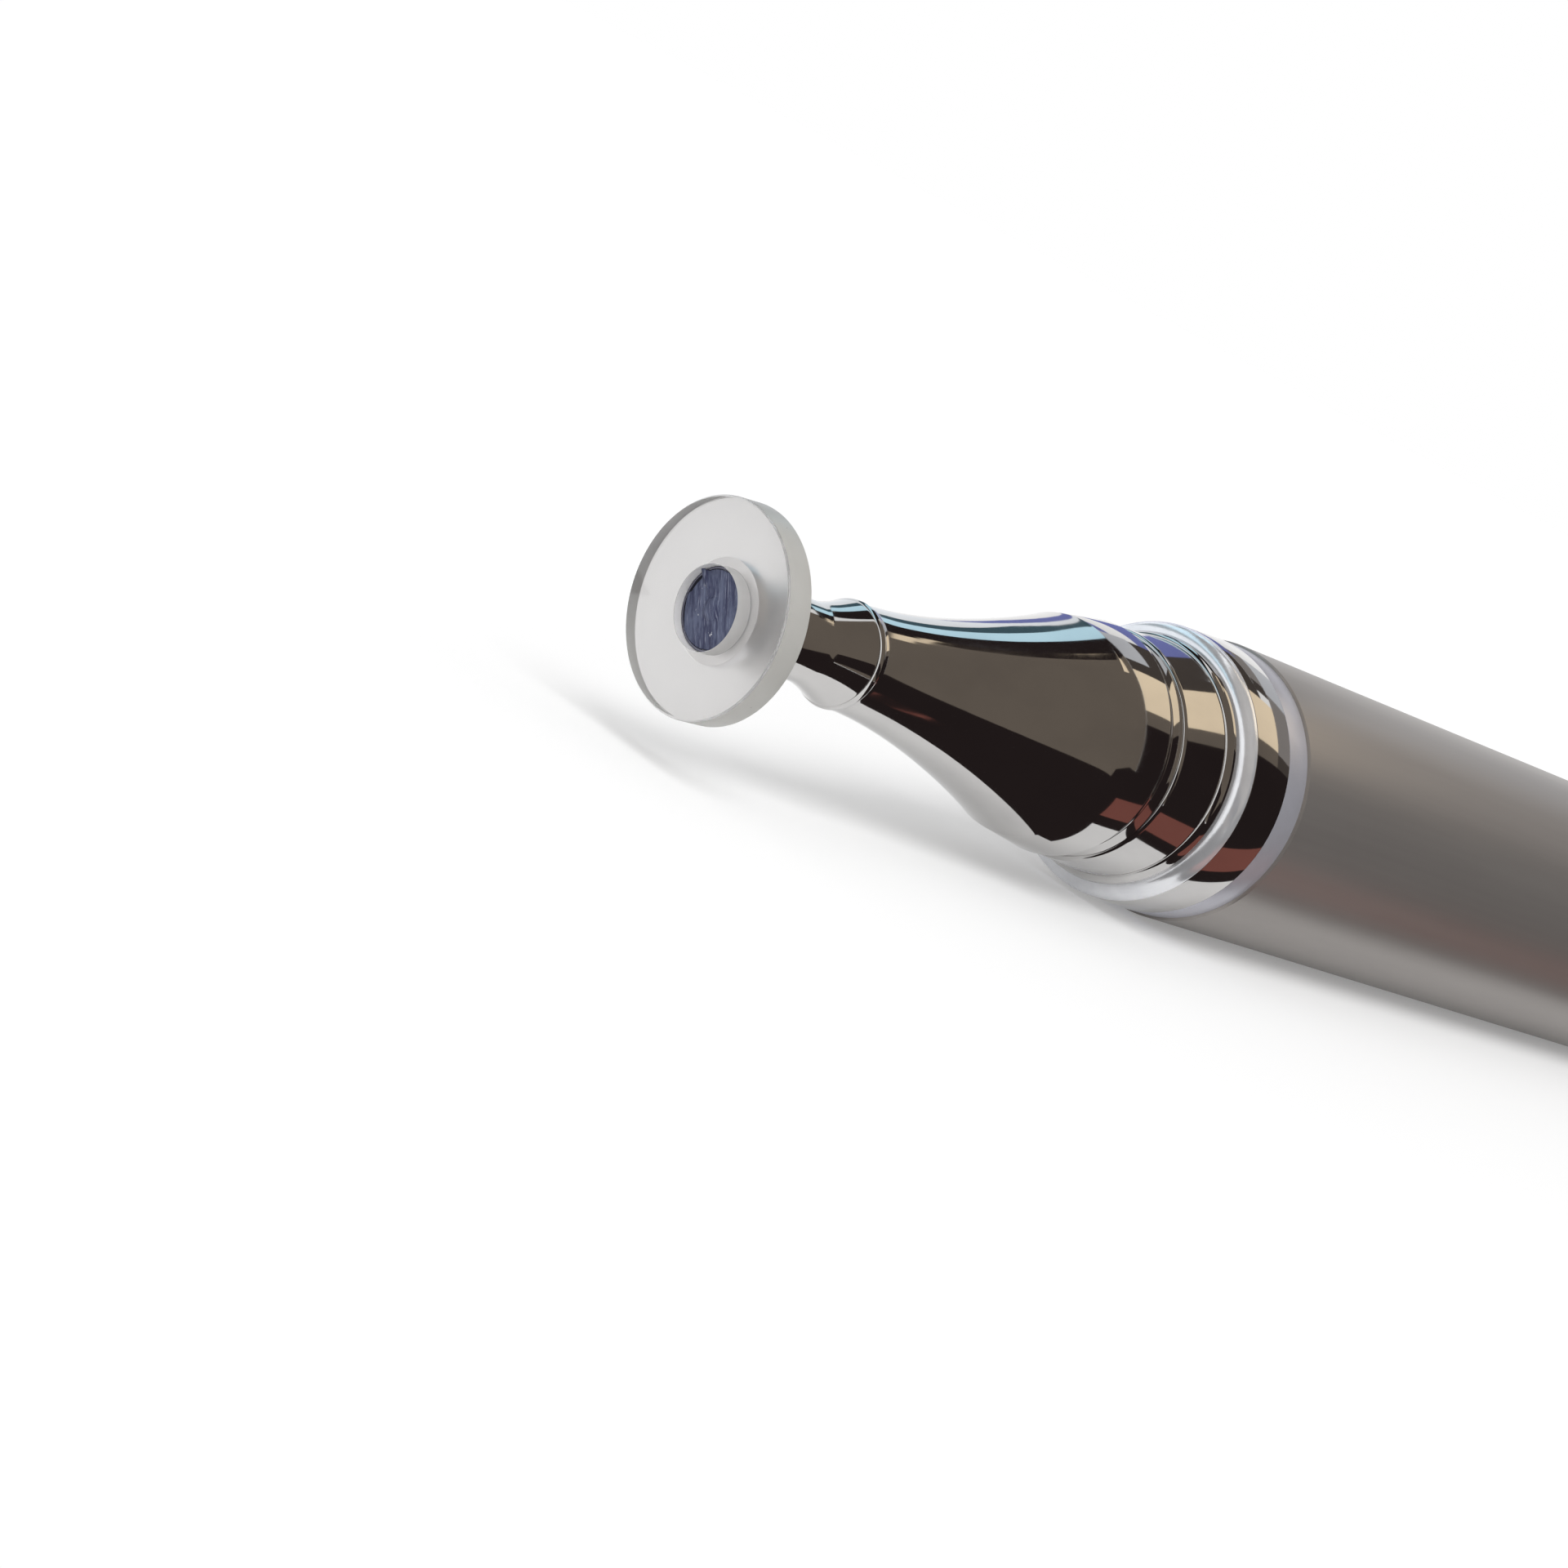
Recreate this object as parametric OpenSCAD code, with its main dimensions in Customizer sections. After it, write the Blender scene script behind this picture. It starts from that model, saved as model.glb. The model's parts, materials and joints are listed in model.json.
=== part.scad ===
// Stylus pen with a clear contact disc on a ball joint.
// The pen lies along X, its tip towards -X, and rests on its barrel and its clip.
// The origin is on the pen's axis, midway along the front barrel.
// Outlines are lists of [place along X, radius] that are turned about the X axis.

/* [Disc] */
// Diameter of the clear contact disc
disc_d = 6.5; // [5.8:0.1:8]
// Thickness of the clear disc
disc_t = 0.95; // [0.85:0.05:1.1]
// Chamfer on both edges of the disc's rim
disc_edge = 0.06; // [0.02:0.01:0.12]
// Diameter of the dark contact core in the disc's middle
core_d = 2.1; // [2:0.05:2.3]
// Wall of the metal bush between disc and core
bush_wall = 0.16; // [0.12:0.01:0.2]
// Diameter of the bush's flange behind the disc
bush_flange_d = 3.1; // [3:0.1:3.4]
// Thickness of the bush's flange
bush_flange_t = 0.32; // [0.3:0.01:0.34]
// Height of the rib on the core that snaps into the bush
core_rib = 0.12; // [0.08:0.01:0.14]
// Length of that rib
core_rib_t = 0.14; // [0.1:0.01:0.16]
// Angle at which the disc leans on its ball
disc_tilt = 6; // [0:1:12]
// Direction in which it leans, as an angle about X from Y
disc_heading = 135; // [0:5:355]

/* [Ball joint] */
// Diameter of the ball in the core's socket
ball_d = 1.24; // [1.16:0.02:1.28]
// Depth of the ball's centre behind the disc's contact face
ball_depth = 0.8; // [0.76:0.02:0.9]
// Diameter of the ball's stem
stem_d = 0.5; // [0.4:0.02:0.54]
// Diameter of the plug that holds the stem in the neck
stud_plug_d = 1.5; // [1.2:0.05:1.7]
// Length of that plug
stud_plug_len = 2.4; // [1.5:0.1:3.2]

/* [Nib] */
// Distance from the ball's centre to the front of the neck
neck_setback = 1.3; // [1.3:0.05:1.6]
// Diameter of the neck inside the nose
neck_d = 2.66; // [2.4:0.02:2.7]
// Diameter of the neck behind the disc
neck_front_d = 2.44; // [2.4:0.02:2.6]
// Chamfer on the front of the neck
neck_chamfer = 0.2; // [0.1:0.05:0.4]
// Diameter of the flange to which the neck swells in front of the lip
neck_flange_d = 3.2; // [3.1:0.02:3.3]
// Length over which the neck swells
neck_swell_len = 1.7; // [1.3:0.1:2]
// Depth to which the neck's full width enters the nose
neck_seat = 0.9; // [0.6:0.1:1.4]
// Diameter of the shank that turns in the sleeve
shank_d = 1.6; // [1.4:0.05:1.8]
// Length of the sleeve round the shank
sleeve_len = 6.6; // [5:0.1:7]
// Width of the slit that makes the sleeve springy
sleeve_slit = 0.3; // [0.2:0.05:0.5]
// Length of sleeve that the slit leaves whole
sleeve_whole = 1.8; // [1:0.1:2.5]
// Thickness of the ring that keeps the shank in its sleeve
retainer_t = 0.4; // [0.3:0.05:0.5]
// Length of shank that stands out of that ring
shank_tail = 0.12; // [0.05:0.01:0.2]

/* [Nose] */
// Distance from the ball's centre to the nose's front lip
nib_reach = 5.2; // [4.6:0.1:6]
// Diameter of the rolled lip
lip_d = 3.34; // [3.3:0.02:3.5]
// Width of the rolled lip
lip_t = 0.28; // [0.2:0.02:0.34]
// Diameter of the flare behind the lip
flare_front_d = 3.24; // [3.2:0.01:3.27]
// Length of the flare
flare_len = 9.9; // [9.5:0.1:12]
// Diameter at the front of the nose's band
nose_band_front_d = 7.12; // [7:0.02:7.3]
// Diameter at the back of the nose's band
nose_band_rear_d = 7.64; // [7.5:0.02:7.8]
// Length of the nose's band
nose_band_len = 1.9; // [1.6:0.1:2.4]
// Width of the hollow between the two bands
hollow_len = 0.9; // [0.7:0.05:1.1]
// Depth of that hollow
hollow_depth = 0.2; // [0.1:0.02:0.26]

/* [Rings] */
// Diameter at the front of the second band
band_front_d = 7.62; // [7.5:0.02:7.7]
// Diameter at the back of the second band
band_rear_d = 7.86; // [7.75:0.02:7.95]
// Length of the second band
band_len = 2.1; // [1.8:0.1:2.5]
// Rounding on the second band's front edge
band_edge = 0.12; // [0.06:0.01:0.16]
// Length of the first rounded step
first_step_len = 0.45; // [0.4:0.05:0.6]
// Diameter on top of the first rounded step
first_step_d = 8.3; // [8.1:0.02:8.4]
// Length of the second rounded step
second_step_len = 0.45; // [0.4:0.05:0.6]
// Width and depth of the fine groove between the steps
step_groove = 0.06; // [0.04:0.01:0.08]
// Diameter at the front of the collar
collar_front_d = 9.16; // [9:0.02:9.2]
// Diameter at the back of the collar
collar_rear_d = 9.28; // [9.22:0.02:9.34]
// Length of the collar
collar_len = 1.85; // [1.5:0.05:2.2]
// Length of the pale rim in front of the barrel
rim_len = 1.1; // [0.8:0.05:1.4]

/* [Barrel] */
// Outer diameter of the barrel
barrel_d = 9.42; // [9.4:0.02:9.8]
// Wall of the barrel tubes
barrel_wall = 0.64; // [0.5:0.02:0.7]
// Chamfer on the ends of the barrel tubes
barrel_edge = 0.08; // [0.04:0.01:0.15]
// Length of the front barrel
front_barrel_len = 54; // [45:1:65]
// Length of the ring between the barrels
mid_ring_len = 3.6; // [3:0.1:5]
// Depth to which that ring lies below the barrels' surface
mid_ring_recess = 0.2; // [0.16:0.02:0.3]
// Width and depth of the two grooves in that ring
mid_groove = 0.2; // [0.14:0.02:0.28]
// Length of the coupler inside the barrels
coupler_len = 16; // [12:1:20]
// Wall of the coupler
coupler_wall = 0.9; // [0.7:0.05:1.2]
// Length of the rear barrel
rear_barrel_len = 42; // [38:1:50]

/* [Inserts] */
// Diameter of the threaded spigots
spigot_d = 5.8; // [5.6:0.05:5.9]
// Length of front spigot inside the nose
nose_thread_len = 1.5; // [1.2:0.1:1.6]
// Length of each insert inside its barrel
insert_len = 8; // [6:0.5:12]
// Diameter of the pocket that holds the contact spring
pocket_d = 2.6; // [2.5:0.05:2.8]
// Depth of that pocket from the front of the spigot
pocket_depth = 3; // [2.5:0.1:4]
// Diameter of the hole through the inserts
insert_bore_d = 1.8; // [1.4:0.1:2]
// Thickness of the rubber sealing rings
seal_t = 0.66; // [0.5:0.02:0.8]
// Distance of each seal from its insert's shoulder
seal_inset = 3; // [2:0.5:4]
// Outer diameter of the contact spring
spring_d = 2.1; // [1.9:0.05:2.2]
// Wire of the contact spring
spring_wire = 0.3; // [0.25:0.01:0.32]
// Number of turns in the contact spring
spring_turns = 6; // [4:1:6]

/* [Rear end] */
// Length of the band that carries the clip
clip_band_len = 4.6; // [4:0.1:6]
// Length of the rear ring's rounded step
rear_step_len = 0.7; // [0.5:0.05:1]
// Diameter in front of the end cap
cap_front_d = 8.5; // [8.3:0.05:8.7]
// Diameter of the end cap's flat end
cap_rear_d = 5.4; // [5:0.1:6]
// Length of the end cap
cap_len = 9; // [8.5:0.1:12]
// Rounding on the end of the end cap
cap_round = 0.8; // [0.5:0.05:1]
// Depth of the end cap's thread
cap_thread_len = 5; // [4:0.1:6]
// Length of the balance weight
weight_len = 9; // [6:0.5:12]

/* [Clip] */
// Length of the clip's arm in front of its root
clip_len = 34; // [28:1:36]
// Thickness of the clip's metal
clip_t = 0.7; // [0.6:0.02:0.8]
// Width of the clip at its root
clip_root_w = 3.4; // [3:0.1:3.6]
// Width of the clip at its tip
clip_tip_w = 2.6; // [2.2:0.1:2.8]
// Gap between the barrel and the clip's arm
clip_gap = 1.3; // [1:0.05:1.5]
// Depth to which the clip's root enters its band
clip_root_depth = 1.1; // [0.8:0.05:1.3]
// Length of the bent toe at the clip's tip
clip_toe_len = 3.2; // [2.6:0.1:4]
// Height of the toe's flared end above the barrel
clip_toe_lift = 1; // [0.8:0.05:1.2]

/* [Clearances] */
// Running clearance of what turns or slides
run_gap = 0.03; // [0.02:0.005:0.05]
// Clearance of what is screwed, pressed or glued together
seat_gap = 0.02; // [0.01:0.005:0.03]
// Clearance round the clip's root and under its toe
clip_clear = 0.15; // [0.1:0.01:0.2]
// Clearance between the end of the nib and the contact spring
spring_clear = 0.3; // [0.2:0.05:0.4]

/* [Hidden] */
$fn = 96;
curve_steps = 28;
round_steps = 8;
wire_sides = 8;
turn_steps = 16;
overrun = 0.5;

// Where the two inner points of the flare's curve lie, as shares of its length and its rise
flare_low_share = [0.42, 0.02];
flare_high_share = [0.95, 0.90];
// How far the neck's curve bulges, as shares of its length and its rise
neck_low_share = [0.4, 0.05];
neck_high_share = [0.75, 0.62];
// How far the end cap's curve bulges, as shares of its length and its rise
cap_low_share = [0.45, 0.05];
cap_high_share = [0.85, 0.55];
// How much of the toe's length lies in front of its lowest point
toe_front_share = 0.45;

// Radii
disc_r = disc_d / 2;
core_r = core_d / 2;
bush_bore_r = core_r + run_gap;
bush_r = bush_bore_r + bush_wall;
bush_flange_r = bush_flange_d / 2;
ball_r = ball_d / 2;
socket_r = ball_r + run_gap;
neck_r = neck_d / 2;
neck_front_r = neck_front_d / 2;
neck_flange_r = neck_flange_d / 2;
nose_bore_r = neck_r + run_gap;
shank_r = shank_d / 2;
sleeve_r = nose_bore_r - run_gap;
spigot_r = spigot_d / 2;
ring_bore_r = spigot_r + seat_gap;
barrel_r = barrel_d / 2;
barrel_bore_r = barrel_r - barrel_wall;
insert_r = barrel_bore_r - seat_gap;
mid_ring_r = barrel_r - mid_ring_recess;
pocket_r = pocket_d / 2;

// Places along the pen, from the front barrel outwards in both directions
barrel_front_x = -front_barrel_len / 2;
rim_x = barrel_front_x - rim_len;
collar_x = rim_x - collar_len;
second_step_x = collar_x - second_step_len;
first_step_x = second_step_x - first_step_len;
band_x = first_step_x - band_len;
hollow_x = band_x - hollow_len;
hollow_middle_x = hollow_x + hollow_len / 2;
hollow_floor_r = nose_band_rear_d / 2 - hollow_depth;
nose_band_x = hollow_x - nose_band_len;
flare_x = nose_band_x - flare_len;
lip_r = lip_d / 2;
lip_round = lip_t / 2;
lip_centre_r = lip_r - lip_round;
lip_end_angle = asin((flare_front_d / 2 - lip_centre_r) / lip_round);
lip_centre_x = flare_x - lip_round * cos(lip_end_angle);
lip_x = lip_centre_x - lip_round;
ball_x = lip_x - nib_reach;
neck_x = ball_x + neck_setback;
neck_flange_x = lip_x - run_gap;
shoulder_x = lip_x + neck_seat;
sleeve_x = shoulder_x + run_gap;
retainer_x = sleeve_x + sleeve_len + run_gap;
shank_end_x = retainer_x + retainer_t + shank_tail;
spigot_x = hollow_middle_x - nose_thread_len;
pocket_x = spigot_x + pocket_depth;
spring_x = shank_end_x + spring_clear;
mid_ring_x = -barrel_front_x;
rear_barrel_x = mid_ring_x + mid_ring_len;
clip_band_x = rear_barrel_x + rear_barrel_len;
rear_ring_x = clip_band_x + clip_band_len;
cap_x = rear_ring_x + rear_step_len;
cap_end_x = cap_x + cap_len;

// The clip, in a frame where it stands above the barrel along +Z
clip_root_x = clip_band_x + clip_band_len / 2;
clip_under_r = barrel_r + clip_gap;
clip_top_r = clip_under_r + clip_t;
clip_tip_x = clip_root_x - clip_len;
toe_low_x = clip_tip_x + clip_toe_len * toe_front_share;
toe_low_r = barrel_r + clip_clear;
// The clip is turned down beside the barrel until its edge reaches the surface that the barrel lies on
clip_corner_r = norm([clip_top_r, clip_root_w / 2]);
clip_turn = 180 - acos(barrel_r / clip_corner_r) - atan2(clip_root_w / 2, clip_top_r);

function swap(outline) = [for (p = outline) [p[1], p[0]]];

// Points of an arc round [x, r], from one angle to another; 90 degrees points away from the axis
function arc(x, r, radius, from, to) =
    [for (i = [0:round_steps]) let (a = from + (to - from) * i / round_steps)
        [x + radius * cos(a), r + radius * sin(a)]];

// Points of a curve from start to end, whose inner points lie at shares of the way
function curve(start, end, low, high) =
    [for (i = [0:curve_steps]) let (
        t = i / curve_steps, u = 1 - t, way = end - start,
        b = start + [way[0] * low[0], way[1] * low[1]],
        c = start + [way[0] * high[0], way[1] * high[1]])
        u * u * u * start + 3 * u * u * t * b + 3 * u * t * t * c + t * t * t * end];

// Half of the round hollow between the bands: side -1 is the half that falls, 1 the half that rises
function hollow(edge_r, side) =
    let (half = hollow_len / 2, depth = edge_r - hollow_floor_r,
         radius = (half * half + depth * depth) / (2 * depth), reach = asin(half / radius))
    arc(hollow_middle_x, hollow_floor_r + radius, radius,
        270 + (side < 0 ? -reach : 0), 270 + (side < 0 ? 0 : reach));

// A quarter round from a low radius up to a high one, over a length
function step_curve(x, length, low_r, high_r) =
    [for (i = [0:round_steps]) let (a = 90 * i / round_steps)
        [x + length * (1 - cos(a)), low_r + (high_r - low_r) * sin(a)]];

// A list without its first item, where two stretches of an outline meet in one point
function rest(items) = [for (i = [1:len(items) - 1]) items[i]];

module turned(outline)
    rotate([0, 90, 0]) rotate_extrude() polygon(swap(outline));

module tube(x, len, outer_r, inner_r)
    turned([[x, inner_r], [x, outer_r], [x + len, outer_r], [x + len, inner_r]]);

// Places a piece that is drawn round the ball's centre, leaning as the disc leans
module on_ball()
    translate([ball_x, 0, 0])
        rotate(a = disc_tilt, v = [0, -sin(disc_heading), cos(disc_heading)]) children();

// Disc, bush and core, drawn with the ball's centre at the origin
face_x = -ball_depth;
disc_back_x = face_x + disc_t;
flange_end_x = disc_back_x + seat_gap + bush_flange_t;
rib_x = flange_end_x - (bush_flange_t + core_rib_t) / 2;

module disc() color([0.87, 0.86, 0.84, 0.5]) on_ball()
    turned([[face_x, bush_r + seat_gap], [face_x, disc_r - disc_edge], [face_x + disc_edge, disc_r],
            [disc_back_x - disc_edge, disc_r], [disc_back_x, disc_r - disc_edge],
            [disc_back_x, bush_r + seat_gap]]);

module disc_bush() color([0.78, 0.78, 0.82]) on_ball()
    turned([[face_x, bush_bore_r], [face_x, bush_r], [disc_back_x + seat_gap, bush_r],
            [disc_back_x + seat_gap, bush_flange_r], [flange_end_x, bush_flange_r],
            [flange_end_x, bush_bore_r], [rib_x + core_rib_t + run_gap, bush_bore_r],
            [rib_x + core_rib_t + run_gap, bush_bore_r + core_rib], [rib_x - run_gap, bush_bore_r + core_rib],
            [rib_x - run_gap, bush_bore_r]]);

module contact_core() color([0.33, 0.35, 0.43]) on_ball()
    difference() {
        turned([[face_x, 0], [face_x, core_r], [rib_x, core_r], [rib_x, core_r + core_rib],
                [rib_x + core_rib_t, core_r + core_rib], [rib_x + core_rib_t, 0]]);
        sphere(r = socket_r);
    }

// Nib
module ball_stud() color([0.72, 0.72, 0.74]) union() {
    translate([ball_x, 0, 0]) sphere(r = ball_r);
    turned([[ball_x, 0], [ball_x, stem_d / 2], [neck_x, stem_d / 2], [neck_x, stud_plug_d / 2],
            [neck_x + stud_plug_len, stud_plug_d / 2], [neck_x + stud_plug_len, 0]]);
}

module nib_neck() color([0.45, 0.44, 0.43])
    turned(concat(
        [[neck_x, stud_plug_d / 2 + seat_gap], [neck_x, neck_front_r - neck_chamfer],
         [neck_x + neck_chamfer, neck_front_r]],
        curve([neck_flange_x - neck_swell_len, neck_front_r], [neck_flange_x, neck_flange_r],
              neck_low_share, neck_high_share),
        [[neck_flange_x, neck_r], [shoulder_x, neck_r], [shoulder_x, shank_r],
         [shank_end_x, shank_r], [shank_end_x, 0], [neck_x + stud_plug_len + seat_gap, 0],
         [neck_x + stud_plug_len + seat_gap, stud_plug_d / 2 + seat_gap]]));

module nib_sleeve() color([0.80, 0.66, 0.38])
    difference() {
        tube(sleeve_x, sleeve_len, sleeve_r, shank_r + run_gap);
        translate([sleeve_x + sleeve_whole, -sleeve_slit / 2, 0])
            cube([sleeve_len, sleeve_slit, nose_bore_r]);
    }

module nib_retainer() color([0.60, 0.60, 0.62])
    tube(retainer_x, retainer_t, sleeve_r, shank_r + seat_gap);

// Nose and rings
module nose_cone() color([0.42, 0.41, 0.40])
    turned(concat(
        [[spigot_x - seat_gap, nose_bore_r], [lip_x, nose_bore_r]],
        arc(lip_centre_x, lip_centre_r, lip_round, 180, lip_end_angle),
        rest(curve([flare_x, flare_front_d / 2], [nose_band_x, nose_band_front_d / 2],
                   flare_low_share, flare_high_share)),
        hollow(nose_band_rear_d / 2, -1),
        [[hollow_middle_x, ring_bore_r], [spigot_x - seat_gap, ring_bore_r]]));

module band_ring() color([0.45, 0.44, 0.43])
    turned(concat(
        [[hollow_middle_x, ring_bore_r]],
        hollow(band_front_d / 2 - band_edge, 1),
        rest(arc(band_x + band_edge, band_front_d / 2 - band_edge, band_edge, 180, 90)),
        step_curve(first_step_x, first_step_len - step_groove, band_rear_d / 2, first_step_d / 2),
        [[second_step_x, first_step_d / 2 - step_groove], [second_step_x, ring_bore_r]]));

module step_ring() color([0.55, 0.55, 0.55])
    turned(concat(
        [[second_step_x, ring_bore_r]],
        step_curve(second_step_x, second_step_len, first_step_d / 2 - step_groove, collar_front_d / 2),
        [[collar_x, ring_bore_r]]));

module collar() color([0.42, 0.41, 0.40])
    turned([[collar_x, ring_bore_r], [collar_x, collar_front_d / 2], [rim_x, collar_rear_d / 2],
            [rim_x, ring_bore_r]]);

module barrel_rim() color([0.78, 0.78, 0.82])
    turned([[rim_x, ring_bore_r], [rim_x, collar_rear_d / 2], [barrel_front_x, barrel_r - barrel_edge],
            [barrel_front_x, ring_bore_r]]);

// Inserts, seals and spring inside the pen
module seal_at(x)
    rotate([0, 90, 0]) rotate_extrude() translate([insert_r - seal_t / 2, x]) circle(d = seal_t);

// An insert with its shoulder at x, in the barrel towards side, its spigot the other way, with a seal groove
module insert(x, side, spigot_len, hole_r)
    difference() {
        union() {
            tube(side > 0 ? x : x - insert_len, insert_len, insert_r, hole_r);
            tube(side > 0 ? x - spigot_len : x - overrun, spigot_len + overrun, spigot_r, hole_r);
        }
        tube(x + side * seal_inset - seal_t / 2 - seat_gap, seal_t + 2 * seat_gap, insert_r + overrun,
             insert_r - seal_t - seat_gap);
    }

module nose_insert() color([0.74, 0.62, 0.36])
    difference() {
        insert(barrel_front_x + seat_gap, 1, barrel_front_x + seat_gap - spigot_x, insert_bore_d / 2);
        turned([[spigot_x - overrun, 0], [spigot_x - overrun, pocket_r], [pocket_x, pocket_r], [pocket_x, 0]]);
    }

module nose_seal() color([0.12, 0.12, 0.12])
    seal_at(barrel_front_x + seat_gap + seal_inset);

// The spring is one wire whose rings of points follow the turns, and its first and last rings close it
spring_r = (spring_d - spring_wire) / 2;
spring_rise = pocket_x - seat_gap - spring_x - spring_wire;
wire_pitch = spring_rise / spring_turns;
wire_gap = wire_pitch - spring_wire;
function wire_ring(turn) = let (a = 360 * turn, lean = atan2(wire_pitch, 2 * PI * spring_r))
    [for (j = [0:wire_sides - 1]) let (b = 360 * j / wire_sides, out = spring_wire / 2 * cos(b),
        along = spring_wire / 2 * sin(b))
        [spring_x + spring_wire / 2 + spring_rise * turn / spring_turns + along * cos(lean),
         (spring_r + out) * cos(a) + along * sin(lean) * sin(a),
         (spring_r + out) * sin(a) - along * sin(lean) * cos(a)]];

module contact_spring() color([0.70, 0.70, 0.72]) {
    rings = spring_turns * turn_steps;
    points = [for (i = [0:rings]) each wire_ring(i / turn_steps)];
    sides = [for (i = [0:rings - 1]) for (j = [0:wire_sides - 1]) let (
        k = (j + 1) % wire_sides, p = i * wire_sides + j, q = i * wire_sides + k)
        each [[p, q, q + wire_sides], [p, q + wire_sides, p + wire_sides]]];
    ends = [for (j = [1:wire_sides - 2]) each [[0, j + 1, j],
        [rings * wire_sides, rings * wire_sides + j, rings * wire_sides + j + 1]]];
    echo(least_gap_between_spring_turns = wire_gap);
    polyhedron(points, concat(sides, ends));
}

module barrel(x, len)
    turned([[x, barrel_bore_r], [x, barrel_r - barrel_edge], [x + barrel_edge, barrel_r],
            [x + len - barrel_edge, barrel_r], [x + len, barrel_r - barrel_edge], [x + len, barrel_bore_r]]);

module front_barrel() color([0.46, 0.44, 0.42]) barrel(barrel_front_x, front_barrel_len);

module rear_barrel() color([0.46, 0.44, 0.42]) barrel(rear_barrel_x, rear_barrel_len);

module mid_coupler() color([0.74, 0.62, 0.36])
    tube(mid_ring_x + (mid_ring_len - coupler_len) / 2, coupler_len, insert_r, insert_r - coupler_wall);

module mid_ring() color([0.55, 0.55, 0.55])
    difference() {
        turned([[mid_ring_x, barrel_bore_r], [mid_ring_x, mid_ring_r - barrel_edge],
                [mid_ring_x + barrel_edge, mid_ring_r], [rear_barrel_x - barrel_edge, mid_ring_r],
                [rear_barrel_x, mid_ring_r - barrel_edge], [rear_barrel_x, barrel_bore_r]]);
        for (side = [-1, 1])
            tube(mid_ring_x + mid_ring_len / 2 + side * mid_ring_len / 4 - mid_groove / 2, mid_groove,
                 mid_ring_r + overrun, mid_ring_r - mid_groove);
    }

module balance_weight() color([0.72, 0.60, 0.34])
    tube(clip_band_x - insert_len - weight_len - 2 * seat_gap, weight_len, insert_r, insert_bore_d / 2);

// Rear end; the clip is drawn above the barrel and turned down beside it
module turn_clip() rotate([clip_turn, 0, 0]) children();

module rear_insert() color([0.74, 0.62, 0.36])
    insert(clip_band_x - seat_gap, -1, cap_x + cap_thread_len - clip_band_x, insert_bore_d / 2);

module rear_seal() color([0.12, 0.12, 0.12])
    seal_at(clip_band_x - seat_gap - seal_inset);

module clip_band() color([0.45, 0.44, 0.43])
    difference() {
        turned([[clip_band_x, ring_bore_r], [clip_band_x, barrel_r - barrel_edge],
                [clip_band_x + barrel_edge, barrel_r], [rear_ring_x - barrel_edge, barrel_r],
                [rear_ring_x, barrel_r - barrel_edge], [rear_ring_x, ring_bore_r]]);
        turn_clip() translate([clip_root_x - clip_t / 2 - clip_clear, -clip_root_w / 2 - clip_clear,
                               barrel_r - clip_root_depth - clip_clear])
            cube([clip_t + 2 * clip_clear, clip_root_w + 2 * clip_clear, clip_root_depth + overrun]);
    }

module rear_ring() color([0.55, 0.55, 0.55])
    turned(concat(
        [[cap_x, ring_bore_r]],
        [for (p = step_curve(0, rear_step_len, cap_front_d / 2, barrel_r - barrel_edge)) [cap_x - p[0], p[1]]],
        [[rear_ring_x, ring_bore_r]]));

module end_cap() color([0.42, 0.41, 0.40])
    turned(concat(
        [[cap_x, ring_bore_r]],
        curve([cap_x, cap_front_d / 2], [cap_end_x - cap_round, cap_rear_d / 2 + cap_round],
              cap_low_share, cap_high_share),
        rest(arc(cap_end_x - cap_round, cap_rear_d / 2, cap_round, 90, 0)),
        [[cap_end_x, 0], [cap_x + cap_thread_len, 0], [cap_x + cap_thread_len, ring_bore_r]]));

// The clip's side view is a strip bent at its root and at its toe; its plan narrows to a round tip
module clip_side()
    polygon([
        [clip_root_x + clip_t / 2, barrel_r - clip_root_depth],
        [clip_root_x - clip_t / 2, barrel_r - clip_root_depth],
        [clip_root_x - clip_t / 2, clip_under_r],
        [clip_tip_x + clip_toe_len, clip_under_r],
        [toe_low_x, toe_low_r],
        [clip_tip_x, toe_low_r + clip_toe_lift - clip_clear],
        [clip_tip_x, toe_low_r + clip_toe_lift - clip_clear + clip_t],
        [toe_low_x, toe_low_r + clip_t],
        [clip_tip_x + clip_toe_len, clip_top_r],
        [clip_root_x - clip_t / 2, clip_top_r],
        [clip_root_x + clip_t / 2, clip_top_r - clip_t]]);

module clip_plan() {
    polygon([[clip_root_x + clip_t, -clip_root_w / 2], [clip_root_x + clip_t, clip_root_w / 2],
             [clip_tip_x + clip_tip_w / 2, clip_tip_w / 2], [clip_tip_x + clip_tip_w / 2, -clip_tip_w / 2]]);
    translate([clip_tip_x + clip_tip_w / 2, 0]) circle(d = clip_tip_w);
}

module clip() color([0.60, 0.60, 0.60]) turn_clip()
    intersection() {
        translate([0, clip_root_w / 2, 0]) rotate([90, 0, 0]) linear_extrude(clip_root_w) clip_side();
        linear_extrude(clip_top_r + overrun) clip_plan();
    }

disc();
disc_bush();
contact_core();
ball_stud();
nib_neck();
nib_sleeve();
nib_retainer();
nose_cone();
band_ring();
step_ring();
collar();
barrel_rim();
nose_insert();
nose_seal();
contact_spring();
front_barrel();
mid_coupler();
mid_ring();
rear_barrel();
balance_weight();
rear_insert();
rear_seal();
clip_band();
clip();
rear_ring();
end_cap();
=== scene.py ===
# %% [markdown]
# # A stylus pen with a clear disc tip
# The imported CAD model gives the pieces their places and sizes, and only the hub in the disc's middle ends
# deeper here. This lesson gives the pieces that show a finer surface and a finish, and sets them on a white
# table with soft light. Lengths are written in millimetres, as on a drawing, and turned into metres where a
# mesh is made.

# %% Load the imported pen
import json
import math

import bpy
from mathutils import Matrix, Vector


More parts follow.
